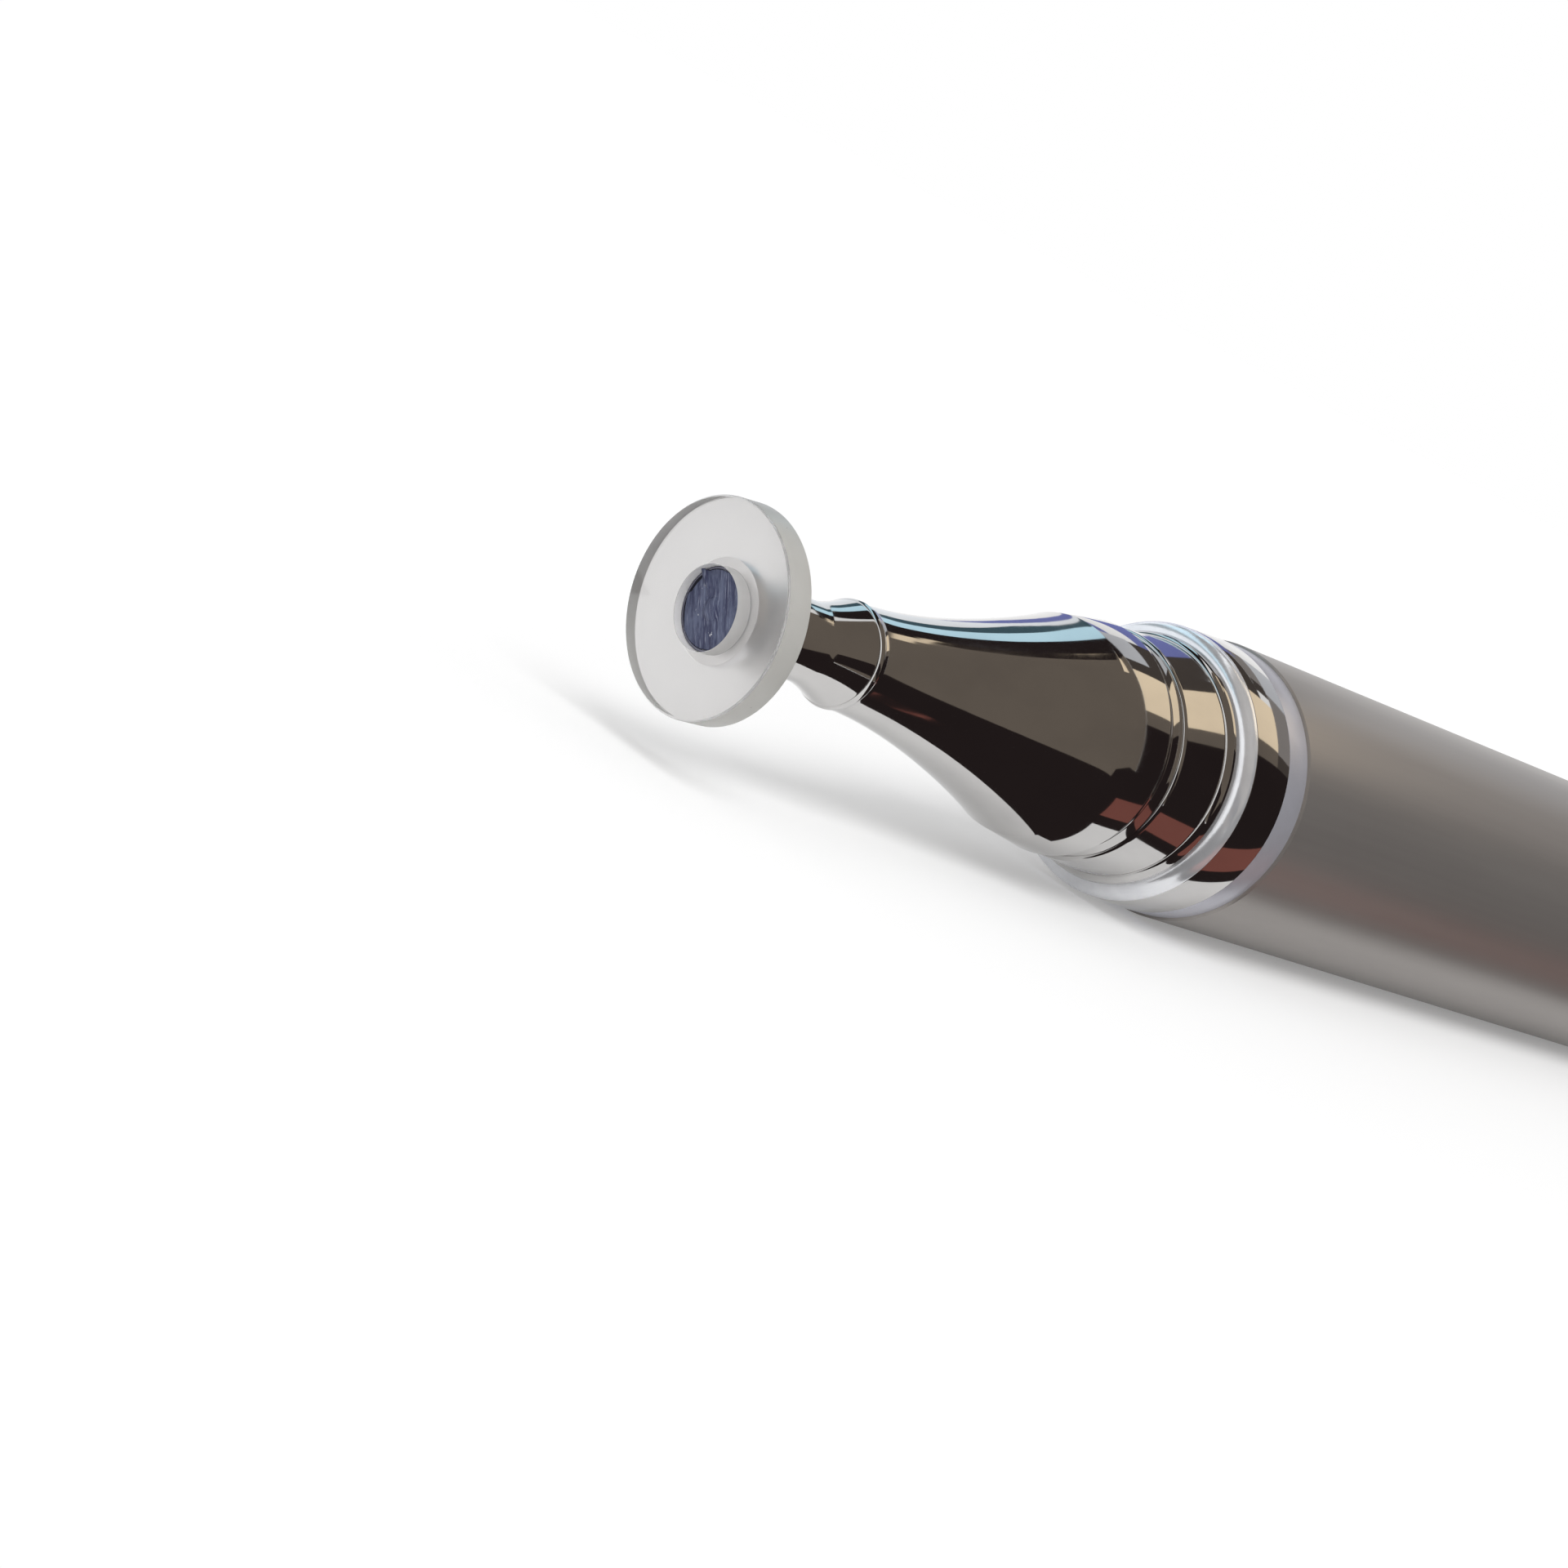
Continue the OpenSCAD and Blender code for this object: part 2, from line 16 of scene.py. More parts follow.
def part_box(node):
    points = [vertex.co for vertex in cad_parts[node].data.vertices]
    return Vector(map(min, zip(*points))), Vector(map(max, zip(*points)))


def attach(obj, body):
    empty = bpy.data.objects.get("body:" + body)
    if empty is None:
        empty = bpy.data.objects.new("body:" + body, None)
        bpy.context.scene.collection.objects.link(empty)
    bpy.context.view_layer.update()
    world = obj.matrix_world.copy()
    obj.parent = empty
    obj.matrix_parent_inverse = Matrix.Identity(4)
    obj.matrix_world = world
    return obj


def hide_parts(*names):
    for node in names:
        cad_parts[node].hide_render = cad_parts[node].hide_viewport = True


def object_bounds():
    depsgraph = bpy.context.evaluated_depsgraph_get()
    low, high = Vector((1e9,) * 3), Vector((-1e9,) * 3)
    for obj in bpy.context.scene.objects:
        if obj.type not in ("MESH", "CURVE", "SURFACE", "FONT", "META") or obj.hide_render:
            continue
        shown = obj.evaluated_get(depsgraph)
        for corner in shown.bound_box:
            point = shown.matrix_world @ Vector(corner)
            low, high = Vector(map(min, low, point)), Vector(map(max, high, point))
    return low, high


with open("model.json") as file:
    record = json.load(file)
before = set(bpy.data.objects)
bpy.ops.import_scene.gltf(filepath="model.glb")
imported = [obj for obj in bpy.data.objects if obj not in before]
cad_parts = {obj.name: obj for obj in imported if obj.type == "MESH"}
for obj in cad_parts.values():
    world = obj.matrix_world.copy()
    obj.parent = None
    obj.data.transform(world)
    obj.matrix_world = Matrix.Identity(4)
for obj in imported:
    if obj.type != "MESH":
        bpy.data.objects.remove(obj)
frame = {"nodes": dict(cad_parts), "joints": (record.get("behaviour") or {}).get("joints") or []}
nodes = frame["nodes"]
joints = {joint["name"]: joint for joint in frame["joints"]}
cad_low, cad_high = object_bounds()
MM = 0.001
print("pen loaded:", len(nodes), "nodes,", round((cad_high.x - cad_low.x) / MM, 1), "mm long")

# %% [markdown]
# ## The camera
# The photograph is a close-up with the pen pointing at the viewer's left. Its camera was found by fitting
# the edges of the disc, the rings and the barrel, so it is written down as a place and two directions. It
# is turned about its own axis too, because the pen lies level here and runs downhill in the picture.

# %% Place the camera
CAMERA_PLACE = Vector((-137.343, -74.876, 13.722))
CAMERA_RIGHT = Vector((0.61191, -0.64230, 0.46154))
CAMERA_UP = Vector((-0.19188, 0.44555, 0.87445))
CAMERA_LENS = 93.75
CAMERA_SENSOR = 36.0
CAMERA_NEAR = 10.0
CAMERA_FAR = 10000.0

bpy.ops.object.select_all(action="DESELECT")
bpy.ops.object.camera_add()
camera = bpy.context.object
camera.name = "camera"
camera.data.lens = CAMERA_LENS
camera.data.sensor_width = CAMERA_SENSOR
camera.data.clip_start = CAMERA_NEAR * MM
camera.data.clip_end = CAMERA_FAR * MM
camera_back = CAMERA_RIGHT.cross(CAMERA_UP).normalized()
turn = Matrix((CAMERA_RIGHT, CAMERA_UP, camera_back)).transposed().to_4x4()
camera.matrix_world = Matrix.Translation(CAMERA_PLACE * MM) @ turn
bpy.context.scene.camera = camera
print("camera", round(CAMERA_PLACE.length), "mm from the middle of the front barrel")

# %% [markdown]
# ## Drawing and turning
# Nearly every piece of a pen is made on a lathe. The same can be done by hand in Blender: one vertex is
# extruded along the outline, and the outline is spun about the pen's axis. The helper below does that from
# a list of places along X and radii, so that each piece reads like a turner's drawing.

# %% Helpers that turn a piece
TURN_STEPS = 192
WELD = 0.0008 * MM
SHARP_CORNER = 32
FINE_EDGE, THIN_EDGE, SOFT_EDGE, BROAD_EDGE = 0.01, 0.015, 0.02, 0.03


def only(piece):
    """Selects one object alone."""
    bpy.ops.object.select_all(action="DESELECT")
    piece.select_set(True)
    bpy.context.view_layer.objects.active = piece


def start_mesh(name):
    """A small plane at the origin, in edit mode and selected all over, from which a piece is drawn."""
    bpy.ops.object.select_all(action="DESELECT")
    bpy.ops.mesh.primitive_plane_add(size=MM)
    piece = bpy.context.object
    piece.name = piece.data.name = name
    bpy.ops.object.mode_set(mode="EDIT")
    bpy.ops.mesh.select_all(action="SELECT")
    return piece


def turned(name, outline, closed=True, steps=TURN_STEPS):
    """Extrudes one vertex along an outline of (place along X, radius), then spins it about the X axis."""
    piece = start_mesh(name)
    bpy.ops.mesh.merge(type="CENTER")
    bpy.ops.transform.translate(value=(outline[0][0] * MM, 0, outline[0][1] * MM))
    stops = outline[1:] + (outline[:1] if closed else [])
    here = outline[0]
    for there in stops:
        way = ((there[0] - here[0]) * MM, 0, (there[1] - here[1]) * MM)
        bpy.ops.mesh.extrude_region_move(TRANSFORM_OT_translate={"value": way})
        here = there
    bpy.ops.mesh.select_all(action="SELECT")
    bpy.ops.mesh.remove_doubles(threshold=WELD)
    bpy.ops.mesh.spin(steps=steps, angle=math.tau, center=(0, 0, 0), axis=(1, 0, 0))
    bpy.ops.mesh.select_all(action="SELECT")
    bpy.ops.mesh.remove_doubles(threshold=WELD)
    bpy.ops.mesh.normals_make_consistent(inside=False)
    bpy.ops.object.mode_set(mode="OBJECT")
    return piece


def apply(piece, kind, **settings):
    """Adds one modifier to a piece and applies it."""
    only(piece)
    modifier = piece.modifiers.new(kind.title(), kind)
    for key, value in settings.items():
        setattr(modifier, key, value)
    bpy.ops.object.modifier_apply(modifier=modifier.name)


def soften(piece, width, segments=3, sharp=SHARP_CORNER):
    """Rounds the corners that are sharper than an angle, and shades the rest as one smooth surface."""
    apply(piece, "BEVEL", width=width * MM, segments=segments, limit_method="ANGLE",
          angle_limit=math.radians(sharp))
    only(piece)
    bpy.ops.object.shade_smooth_by_angle(angle=math.radians(sharp))
    apply(piece, "WEIGHTED_NORMAL", keep_sharp=True)


def arc(x, r, radius, start, end, steps=12):
    """Points of an arc round (x, r); 90 degrees points away from the pen's axis."""
    angles = [math.radians(start + (end - start) * i / steps) for i in range(steps + 1)]
    return [(x + radius * math.cos(a), r + radius * math.sin(a)) for a in angles]


def curve(start, end, low, high, steps=72):
    """Points of a smooth curve whose two inner points lie at shares of the way."""
    run, rise = end[0] - start[0], end[1] - start[1]
    points = []
    for i in range(steps + 1):
        t = i / steps
        u = 1 - t
        points.append(tuple(
            begin + way * (3 * u * u * t * a + 3 * u * t * t * b + t * t * t)
            for begin, way, a, b in ((start[0], run, low[0], high[0]), (start[1], rise, low[1], high[1]))))
    return points


def place(name):
    """The lowest and highest corner of a CAD node, in millimetres."""
    low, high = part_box(name)
    return low / MM, high / MM


def fit(piece, body, slot, *replaced):
    """A finished piece rides on its body and stands for its CAD nodes, which are hidden. The slot is not
    used.
    """
    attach(piece, body)
    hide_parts(*replaced)
    print(piece.name, "made,", len(piece.data.polygons), "faces")


# %% [markdown]
# ## Finishes as sums
# Shader maths is easier to read as an expression than as a web of nodes. A Wire holds one socket of a
# material, and adding or multiplying Wires adds the Math nodes. A Paint is one material, and its node
# method adds any other node. Patterns read Object coordinates, in metres, so they stay on the piece when it
# moves.

# %% Helpers that mix a finish


class Wire:
    """One output socket of a material, on which Python's operators work."""

    def __init__(self, paint, socket):
        self.paint, self.socket = paint, socket

    def maths(self, operation, *values):
        return self.paint.node("ShaderNodeMath", {"operation": operation}, dict(enumerate(values)))

    def __add__(self, other):
        return self.maths("ADD", self, other)

    def __mul__(self, other):
        return self.maths("MULTIPLY", self, other)

    def above(self, limit, soft):
        """Rises from 0 to 1 round a limit."""
        return self.paint.node("ShaderNodeMapRange", {"interpolation_type": "SMOOTHSTEP"},
                               {"Value": self, "From Min": limit - soft, "From Max": limit + soft})

    __radd__ = __add__
    __rmul__ = __mul__


class Paint:
    """One material; its shader's fixed values are set on the shader's own sockets."""

    def __init__(self, name, **fixed):
        self.material = bpy.data.materials.new(name)
        self.material.use_nodes = True
        self.tree = self.material.node_tree
        self.shader = self.tree.nodes["Principled BSDF"]
        for socket, value in fixed.items():
            self.shader.inputs[socket.replace("_", " ")].default_value = value

    def node(self, kind, settings=None, values=None, output=0):
        made = self.tree.nodes.new(kind)
        for key, value in (settings or {}).items():
            setattr(made, key, value)
        for key, value in (values or {}).items():
            self.join(value, made.inputs[key])
        return Wire(self, made.outputs[output])

    def join(self, value, socket):
        if isinstance(value, Wire):
            self.tree.links.new(value.socket, socket)
        else:
            socket.default_value = value

    def feed(self, **links):
        for socket, value in links.items():
            self.join(value, self.shader.inputs[socket.replace("_", " ")])

    def spot(self):
        return self.node("ShaderNodeTexCoord", output="Object")

    def stretched(self, scale, turn=0.0):
        """Object coordinates turned about X by some degrees, in units of 1 mm times a scale on each axis."""
        turned_spot = self.node("ShaderNodeMapping", {"vector_type": "POINT"},
                                {"Vector": self.spot(), "Rotation": (math.radians(turn), 0, 0)})
        return self.node("ShaderNodeVectorMath", {"operation": "MULTIPLY"},
                         {0: turned_spot, 1: [s / MM for s in scale]})

    def towards(self, direction):
        """How far a point lies in a direction, in millimetres."""
        return self.node("ShaderNodeVectorMath", {"operation": "DOT_PRODUCT"},
                         {0: self.spot(), 1: [d / MM for d in direction]}, output=1)

    def noise(self, scale, detail=3.0, rough=0.55, turn=0.0):
        return self.node("ShaderNodeTexNoise", {"noise_dimensions": "3D"},
                         {"Vector": self.stretched(scale, turn), "Scale": 1.0, "Detail": detail,
                          "Roughness": rough})

    def blend(self, amount, low, high):
        """A colour between two others."""
        return self.node("ShaderNodeMix", {"data_type": "RGBA"}, {"Factor": amount, 6: low, 7: high},
                         output=2)

    def bump(self, height, depth, strength=1.0):
        return self.node("ShaderNodeBump", {},
                         {"Strength": strength, "Distance": depth * MM, "Height": height})


# %% [markdown]
# ## Bright plating
# The nose, the rings and the clip are plated and mirror bright. Real plating is never perfect: it carries a
# faint film from fingers, a few hair scratches round the part from polishing, and a tiny waviness that
# bends the reflections. The film and the scratches go into the roughness and the waviness into a bump of a
# few hundredths of a micrometre.

# %% Mix the bright plating
bright = Paint("bright_plating", Metallic=1.0)
film = bright.noise((0.28, 0.5, 0.5), detail=4).above(0.55, 0.2)
rings = bright.noise((38, 0.7, 0.7), detail=2).above(0.68, 0.06)
bright.feed(
    Base_Color=bright.blend(film, (0.62, 0.61, 0.60, 1), (0.56, 0.55, 0.545, 1)),
    Roughness=0.05 + film * 0.03 + rings * 0.02,
    Normal=bright.bump(bright.noise((0.5, 0.5, 0.5), detail=2), 0.004),
)

# %% [markdown]
# ## Frosted plating with a painted highlight
# The larger of the two rounded steps shines white and soft where the bands beside it are mirrors. Part of its
# colour is a painted highlight in white, and a fine grain in the bump and a higher roughness frost it.

# %% Mix the frosted plating and its painted highlight
# painted highlight: a white share of the step's colour stands for the bright light that it mirrors
frosted_painted_highlight = Paint("frosted_painted_highlight", Metallic=0.65)
grit = frosted_painted_highlight.noise((11, 11, 11), detail=3)
worn = frosted_painted_highlight.noise((1.2, 1.2, 1.2), detail=3).above(0.5, 0.2)
frosted_painted_highlight.feed(
    Base_Color=frosted_painted_highlight.blend(worn, (0.93, 0.94, 0.97, 1), (0.84, 0.85, 0.88, 1)),
    Roughness=0.15 + grit * 0.1,
    Normal=frosted_painted_highlight.bump(grit, 0.003),
)

# %% [markdown]
# ## Pale metal, steel, brass and rubber
# The bush and the rim of the barrel are anodised a pale satin, so they blur what they mirror and keep a
# tone of their own, which Metallic below 1 gives. The pieces inside are turned steel and brass with fine
# rings from the tool, and the seals are rubber with a dusty bloom.

# %% Mix the plainer metals and the rubber


def turned_metal(name, colour, dark_colour, roughness, metallic=1.0):
    """A metal with fine rings round X from the tool, and cloudy patches."""
    paint = Paint(name, Metallic=metallic)
    lines = paint.noise((45, 0.4, 0.4), detail=2)
    cloud = paint.noise((0.6, 0.6, 0.6), detail=4).above(0.5, 0.25)
    paint.feed(
        Base_Color=paint.blend(cloud, (*colour, 1), (*dark_colour, 1)),
        Roughness=roughness + lines * 0.08 + cloud * 0.06,
        Normal=paint.bump(lines, 0.0015),
    )
    return paint


pale = turned_metal("pale_rim_satin", (0.56, 0.56, 0.62), (0.50, 0.50, 0.55), 0.32, metallic=0.5)
bush_white = turned_metal("bush_white_satin", (0.96, 0.96, 0.97), (0.90, 0.90, 0.92), 0.25, metallic=0.95)
# painted shade: a dark grey copy of the bush's satin, for the bush's wall
bush_wall_shade = turned_metal("bush_wall_painted_shade", (0.19, 0.19, 0.24), (0.14, 0.14, 0.18), 0.18, metallic=0.7)
steel = turned_metal("plain_steel", (0.70, 0.70, 0.72), (0.60, 0.60, 0.62), 0.16)
brass = turned_metal("turned_brass", (0.76, 0.60, 0.30), (0.66, 0.50, 0.24), 0.20)
rubber = Paint("seal_rubber", Roughness=0.6)
bloom = rubber.noise((2, 2, 2), detail=5)
rubber.feed(Base_Color=rubber.blend(bloom, (0.015, 0.015, 0.015, 1), (0.05, 0.05, 0.05, 1)))

# %% [markdown]
# ## Satin barrel
# The barrel is a brushed grey tube under a thin clear finish. Its fine streaks run along the pen, so the
# noise is stretched along X, and broad soft patches make it a little uneven in tone.

# %% Mix the satin finish
satin = Paint("satin_barrel", Metallic=0.6)
streaks = satin.noise((0.05, 5.0, 5.0), detail=4)
patches = satin.noise((0.035, 0.5, 0.5), detail=3).above(0.5, 0.3)
satin.feed(
    Base_Color=satin.blend(streaks * 0.4 + patches * 0.6, (0.31, 0.285, 0.27, 1), (0.39, 0.365, 0.345, 1)),
    Roughness=0.32 + streaks * 0.08,
    Normal=satin.bump(streaks, 0.0012),
)

# %% [markdown]
# ## Clear plastic
# The disc is moulded from clear plastic that has gone a touch milky. Its front is smooth, with a few scuffs
# from glass. Its back is misty, so what lies behind it blurs, and the wall of its hole is milky. Its rim is
# turned, so it scatters light and looks pale ivory with a few dark specks, and on one side its colour is
# painted darker grey as shade. All four are one kind of shader with different shares of transmission and
# haze.

# %% Mix the clear plastic
clear = Paint("clear_plastic", Metallic=0.0, IOR=1.49, Transmission_Weight=0.92)
scuffs = clear.noise((9, 2.2, 1.1), detail=5).above(0.72, 0.03)
haze = clear.noise((0.35, 0.35, 0.35), detail=3)
clear.feed(
    Base_Color=clear.blend(haze, (0.91, 0.90, 0.89, 1), (0.86, 0.85, 0.84, 1)),
    Roughness=0.04 + haze * 0.03 + scuffs * 0.25,
)
misty = Paint("misty_back", Metallic=0.0, IOR=1.49, Transmission_Weight=0.78)
mist = misty.noise((0.5, 0.5, 0.5), detail=3)
misty.feed(
    Base_Color=misty.blend(mist, (0.76, 0.75, 0.75, 1), (0.71, 0.70, 0.70, 1)),
    Roughness=0.34 + mist * 0.06,
)
milky = Paint("milky_hole", Metallic=0.0, IOR=1.49, Transmission_Weight=0.25)
milk = milky.noise((1.5, 1.5, 1.5), detail=3)
milky.feed(
    Base_Color=milky.blend(milk, (0.96, 0.95, 0.95, 1), (0.90, 0.89, 0.89, 1)),
    Roughness=0.45 + milk * 0.1,
)
frosted = Paint("frosted_rim", Metallic=0.0, IOR=1.49, Transmission_Weight=0.22)
ripple = frosted.noise((0.7, 0.7, 0.7), detail=3)
rim_specks = frosted.noise((4.5, 4.5, 4.5), detail=1).above(0.80, 0.015)
# painted shade: the rim's colour turns dark grey towards one side
painted_shade_side = frosted.towards((0, 0.8, 0.6)).above(2.0, 1.4)
ivory = frosted.blend(ripple, (0.58, 0.57, 0.54, 1), (0.50, 0.49, 0.46, 1))
ivory = frosted.blend(painted_shade_side, ivory, (0.26, 0.25, 0.25, 1))
frosted.feed(
    Base_Color=frosted.blend(rim_specks, ivory, (0.12, 0.10, 0.09, 1)),
    Roughness=0.30 + ripple * 0.1,
)

# %% [markdown]
# ## Contact core
# The core's end is worn, with scratches that all run one way through a dark slate-blue finish. Two noises,
# stretched hard along the scratches, give broad strokes and hair lines, and a third gives a few pale specks.

# %% Mix the dark core
SCRATCH_TURN = 33.0
core_paint = Paint("dark_core", Metallic=0.55)
strokes = core_paint.noise((3, 5.0, 0.9), detail=5, rough=0.7, turn=SCRATCH_TURN)
hairs = core_paint.noise((3, 22.0, 1.6), detail=3, rough=0.6, turn=SCRATCH_TURN)
specks = core_paint.noise((9, 13.0, 5.0), detail=2, turn=SCRATCH_TURN).above(0.74, 0.03)
tone = core_paint.blend(strokes.above(0.5, 0.13), (0.040, 0.045, 0.10, 1), (0.13, 0.15, 0.235, 1))
tone = core_paint.blend(hairs.above(0.62, 0.06), tone, (0.26, 0.28, 0.38, 1))
core_paint.feed(
    Base_Color=core_paint.blend(specks, tone, (0.75, 0.76, 0.82, 1)),
    Roughness=0.42 + strokes * 0.2,
    Normal=core_paint.bump(strokes + hairs, 0.03, 0.8),
)

# %% [markdown]
# ## The disc, its bush and its core
# These three lean on the ball of the joint. They are turned about the X axis with the ball's centre at the
# origin, and then moved to the ball and tilted to the axis that the joint of the disc gives.

# %% Turn and place the clear disc
DISC_RADIUS = 3.25
DISC_THICKNESS = 0.95
DISC_EDGE = 0.06
BALL_DEPTH = 0.8
BUSH_RADIUS = 1.24
BUSH_BORE_RADIUS = 1.08
BUSH_FLANGE_RADIUS = 1.55
BUSH_FLANGE = 0.32
CORE_RADIUS = 1.05
SEAT_GAP = 0.02
SIDEWAYS = 0.3
face_x = -BALL_DEPTH
disc_back_x = face_x + DISC_THICKNESS
flange_x = disc_back_x + SEAT_GAP
flange_end_x = flange_x + BUSH_FLANGE
ball = Vector(joints["disc_spin"]["pos_m"])
disc_axis = Vector(joints["disc_spin"]["axis"])
lean = Matrix.Translation(ball) @ Vector((1, 0, 0)).rotation_difference(disc_axis).to_matrix().to_4x4()


def lean_on_ball(piece):
    """Moves a piece from the origin to the ball, and leaves its place in its mesh."""
    only(piece)
    piece.matrix_world = lean
    bpy.ops.object.transform_apply(location=True, rotation=True, scale=True)


disc = turned("clear_disc", [
    (face_x, BUSH_RADIUS + SEAT_GAP), (face_x, DISC_RADIUS - DISC_EDGE), (face_x + DISC_EDGE, DISC_RADIUS),
    (disc_back_x - DISC_EDGE, DISC_RADIUS), (disc_back_x, DISC_RADIUS - DISC_EDGE),
    (disc_back_x, BUSH_FLANGE_RADIUS), (disc_back_x, BUSH_RADIUS + SEAT_GAP)])
soften(disc, THIN_EDGE, segments=2, sharp=20)
for paint in (clear, frosted, misty, milky):
    disc.data.materials.append(paint.material)
for face in disc.data.polygons:
    centre_radius = math.hypot(face.center.y, face.center.z) / MM
    on_rim = abs(face.normal.x) < SIDEWAYS and centre_radius > DISC_RADIUS - DISC_EDGE
    in_hole = abs(face.normal.x) < SIDEWAYS and centre_radius < BUSH_RADIUS + 2 * SEAT_GAP
    on_back = face.normal.x > SIDEWAYS and centre_radius > BUSH_FLANGE_RADIUS
    face.material_index = 1 if on_rim else 2 if on_back else 3 if in_hole else 0
lean_on_ball(disc)
fit(disc, "disc_tip", "clear_disc", "disc")

# %% [markdown]
# ## The bush in the disc's hole
# The bush is a thin sleeve with a flange that bears on the disc's back. Its front end lies a little below
# the disc's face and is widened for the core's spread end, so it is hardly seen. Its wall and its bright
# flange show through the clear plastic. The wall is painted dark grey as shade, a shaded copy of the bush's
# bright finish, and the two are given to its faces by their place. In the CAD model the bush and the core end
# flush with the disc's face. The photograph shows them sunk, so both end a quarter of a millimetre deeper
# here, and the hidden rib and groove between them are left out.

# %% Turn and place the bush
HUB_RECESS = 0.26
HEAD_RADIUS = 1.15
HEAD_DEPTH = 0.12
hub_x = face_x + HUB_RECESS
head_end_x = hub_x + HEAD_DEPTH
bush = turned("hub_bush", [
    (head_end_x + SEAT_GAP, BUSH_BORE_RADIUS), (head_end_x + SEAT_GAP, HEAD_RADIUS + SEAT_GAP),
    (hub_x + SEAT_GAP, HEAD_RADIUS + SEAT_GAP), (hub_x + SEAT_GAP, BUSH_RADIUS), (flange_x, BUSH_RADIUS),
    (flange_x, BUSH_FLANGE_RADIUS), (flange_end_x, BUSH_FLANGE_RADIUS), (flange_end_x, BUSH_BORE_RADIUS)])
soften(bush, FINE_EDGE)
bush.data.materials.append(bush_white.material)
bush.data.materials.append(bush_wall_shade.material)
# painted shade: the wall's faces get the dark grey copy of the bush's finish
for face in bush.data.polygons:
    face_radius = math.hypot(face.center.y, face.center.z) / MM
    on_shaded_wall = HEAD_RADIUS < face_radius < BUSH_RADIUS + SEAT_GAP
    face.material_index = 1 if on_shaded_wall else 0
lean_on_ball(bush)
fit(bush, "disc_tip", "pale_metal", "disc_bush")

# %% [markdown]
# ## The core's worn end
# The end of the core is nearly flat with a soft edge. Use has spread it into a thin head, and has worn it:
# a burr stands out at the top like a thorn, the edge beside it is pressed in, and at the bottom the edge is
# drawn out to a blunt point. Such marks are pulled out of the turned edge with proportional editing, as by
# hand.

# %% Turn and place the core
CORE_END_X = 0.4
SOCKET_MOUTH_RADIUS = 0.512
SOCKET_RADIUS = 0.65
mouth_turn = math.degrees(math.atan2(SOCKET_MOUTH_RADIUS, CORE_END_X))
core = turned("contact_core_end", [
    (hub_x, 0.0), (hub_x, HEAD_RADIUS / 2), (hub_x, HEAD_RADIUS), (head_end_x, HEAD_RADIUS),
    (head_end_x, CORE_RADIUS), (CORE_END_X, CORE_RADIUS), (CORE_END_X, SOCKET_MOUTH_RADIUS)]
    + arc(0, 0, SOCKET_RADIUS, mouth_turn, 180)[1:], closed=False)


def pull_edge(piece, angle, half_width, outwards, forwards, reach):
    """Pulls the end's edge near an angle (from +Y towards +Z), and less and less beside it, up to a reach."""
    only(piece)
    for vertex in piece.data.vertices:
        x, y, z = vertex.co / MM
        turn_away = (math.degrees(math.atan2(z, y)) - angle + 180) % 360 - 180
        vertex.select = x < hub_x + SEAT_GAP and math.hypot(y, z) > HEAD_RADIUS - SEAT_GAP \
            and abs(turn_away) < half_width
    for part in (*piece.data.edges, *piece.data.polygons):
        part.select = False
    bpy.ops.object.mode_set(mode="EDIT")
    bpy.ops.mesh.select_mode(type="VERT")
    a = math.radians(angle)
    bpy.ops.transform.translate(
        value=(-forwards * MM, outwards * math.cos(a) * MM, outwards * math.sin(a) * MM),
        use_proportional_edit=True, proportional_edit_falloff="SHARP", proportional_size=reach * MM)
    bpy.ops.object.mode_set(mode="OBJECT")


PRESSED_MARKS = [(20, 14, -0.10, 0.0, 0.25), (-27, 12, -0.05, 0.0, 0.4), (153, 12, -0.04, 0.0, 0.4)]
BURR = (42, 1, 0.22, 0.14, 0.22)
BLUNT_POINT = (233, 2, 0.10, 0.02, 0.3)
for mark in (*PRESSED_MARKS, BURR, BLUNT_POINT):
    pull_edge(core, *mark)
soften(core, SOFT_EDGE, sharp=40)
core.data.materials.append(core_paint.material)
lean_on_ball(core)
fit(core, "disc_core", "dark_core", "contact_core")

# %% [markdown]
# ## The neck
# The neck carries the ball and turns in the nose. It is plated and swells like a trumpet, so that it meets
# the nose's lip almost flush and the two look like one line. Behind its flange a seat and a shank go into
# the nose.

# %% Turn the neck
NECK_RADIUS = 1.33
NECK_FRONT_RADIUS = 1.22
NECK_FLANGE_RADIUS = 1.6
NECK_SWELL = 1.7
NECK_CHAMFER = 0.2
NECK_SEAT = 0.9
RUN_GAP = 0.03
SHANK_RADIUS = 0.8
PLUG_RADIUS = 0.77
PLUG_LENGTH = 2.42
SWELL_START, SWELL_END = (0.4, 0.05), (0.75, 0.62)
neck_low, neck_high = place("nib_neck")
neck_x, shank_end_x = neck_low.x, neck_high.x
nose_low, nose_high = place("nose_cone")
lip_x, hollow_middle_x = nose_low.x, nose_high.x
shoulder_x = lip_x + NECK_SEAT
neck_end_x = lip_x - RUN_GAP
neck = turned("neck", [
    (neck_x, PLUG_RADIUS), (neck_x, NECK_FRONT_RADIUS - NECK_CHAMFER),
    (neck_x + NECK_CHAMFER, NECK_FRONT_RADIUS)]
    + curve((neck_end_x - NECK_SWELL, NECK_FRONT_RADIUS), (neck_end_x, NECK_FLANGE_RADIUS),
            SWELL_START, SWELL_END, steps=24)
    + [(neck_end_x, NECK_RADIUS), (shoulder_x, NECK_RADIUS), (shoulder_x, SHANK_RADIUS),
       (shank_end_x, SHANK_RADIUS), (shank_end_x, 0.0), (neck_x + PLUG_LENGTH, 0.0),
       (neck_x + PLUG_LENGTH, PLUG_RADIUS)])
soften(neck, SOFT_EDGE)
neck.data.materials.append(bright.material)
fit(neck, "nib", "bright_metal", "nib_neck")

# %% [markdown]
# ## The flared nose
# The nose starts with a rolled lip. Its flare is one curve that leaves the lip almost level and swells
# towards the band, and the band ends in half of a shallow round hollow.

